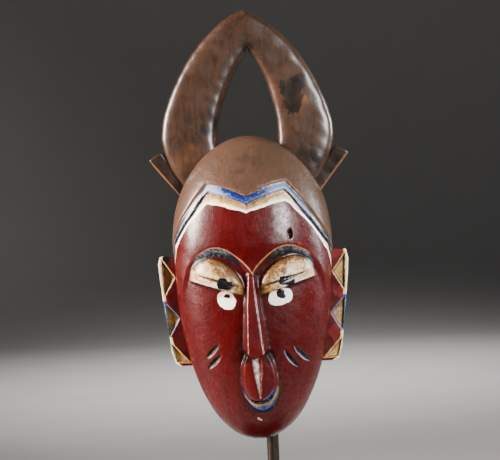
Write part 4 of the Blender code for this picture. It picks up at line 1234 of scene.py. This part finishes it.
# Camera at the photograph's angle, its frame 500 by 460
AZIMUTH = math.radians(3.0)
ELEVATION = math.radians(1.0)
ROLL = math.radians(-2.5)
DISTANCE = 1.5
PIXELS_PER_METRE = 1065.0
aim = Vector((-0.0017, BACK - 0.020, CHIN + 0.1955))
away = Vector((math.sin(AZIMUTH) * math.cos(ELEVATION), -math.cos(AZIMUTH) * math.cos(ELEVATION),
               math.sin(ELEVATION)))
lens = bpy.data.cameras.new("camera")
lens.sensor_width = 36.0
lens.lens = PIXELS_PER_METRE * DISTANCE / 500 * lens.sensor_width
camera = bpy.data.objects.new("camera", lens)
bpy.context.scene.collection.objects.link(camera)
camera.location = aim + away * DISTANCE
camera.rotation_mode = "QUATERNION"
turn = Matrix.Rotation(ROLL, 4, "Z").to_quaternion()
camera.rotation_quaternion = (-away).to_track_quat("-Z", "Y") @ turn
bpy.context.scene.camera = camera

# Pale floor that sweeps up into a wall behind
SWEEP_START = 2.4
SWEEP_RADIUS = 1.2
run = np.linspace(-4.0, 5.2, 93)
turn = np.clip((run - SWEEP_START) / SWEEP_RADIUS, 0, math.pi / 2)
wall = np.clip(run - SWEEP_START - SWEEP_RADIUS * math.pi / 2, 0, None)
floor_y = np.minimum(run, SWEEP_START) + SWEEP_RADIUS * np.sin(turn)
floor_z = SWEEP_RADIUS * (1 - np.cos(turn)) + wall
floor_x, _ = np.meshgrid(np.linspace(-5.0, 5.0, 11), run)
floor = shaped_grid("floor", 93, 11, np.stack([
    floor_x.ravel(), np.repeat(floor_y, 11), np.repeat(floor_z, 11)], axis=1))
bpy.ops.object.shade_smooth()
pale_floor, sketch = new_finish("pale_floor")
dust = sketch.noise(9.0, 5.0, 0.6)
sketch.give(sketch.shader, "Base Color", sketch.mix(dust, srgb(180, 178, 176), srgb(189, 188, 186)))
sketch.give(sketch.shader, "Roughness", sketch.ramp(dust, 0.3, 0.7, 0.62, 0.72))
floor.data.materials.append(pale_floor)


def soft_light(name, place, look, width, height, spread, power, colour):
    """An oval studio light at a place, turned to look at another, its beam's spread in degrees."""
    lamp = bpy.data.lights.new(name, "AREA")
    lamp.shape = "ELLIPSE"
    lamp.size = width
    lamp.size_y = height
    lamp.spread = math.radians(spread)
    lamp.energy = power
    lamp.color = colour
    holder = bpy.data.objects.new(name, lamp)
    bpy.context.scene.collection.objects.link(holder)
    holder.location = place
    holder.rotation_mode = "QUATERNION"
    holder.rotation_quaternion = (Vector(look) - Vector(place)).to_track_quat("-Z", "Y")


soft_light("key", (0.84, -1.18, 0.66), (0, 0, 0.39), 0.56, 0.56, 42, 3.6, (1.0, 0.98, 0.96))
soft_light("left_side", (-1.32, -0.26, 0.72), (0, 0, 0.40), 0.56, 0.90, 44, 15, (1.0, 0.86, 0.78))
soft_light("right_side", (1.32, 0.20, 0.62), (0, 0, 0.40), 0.60, 0.60, 44, 3.6, (0.92, 0.96, 1.0))
soft_light("floor_wash", (0, 1.5, 1.7), (0, 1.5, 0), 1.2, 1.2, 66, 10, (1.0, 0.99, 0.98))
world = bpy.data.worlds.new("studio")
world.use_nodes = True
world.node_tree.nodes["Background"].inputs["Color"].default_value = (0.62, 0.62, 0.63, 1)
world.node_tree.nodes["Background"].inputs["Strength"].default_value = 0.11
bpy.context.scene.world = world
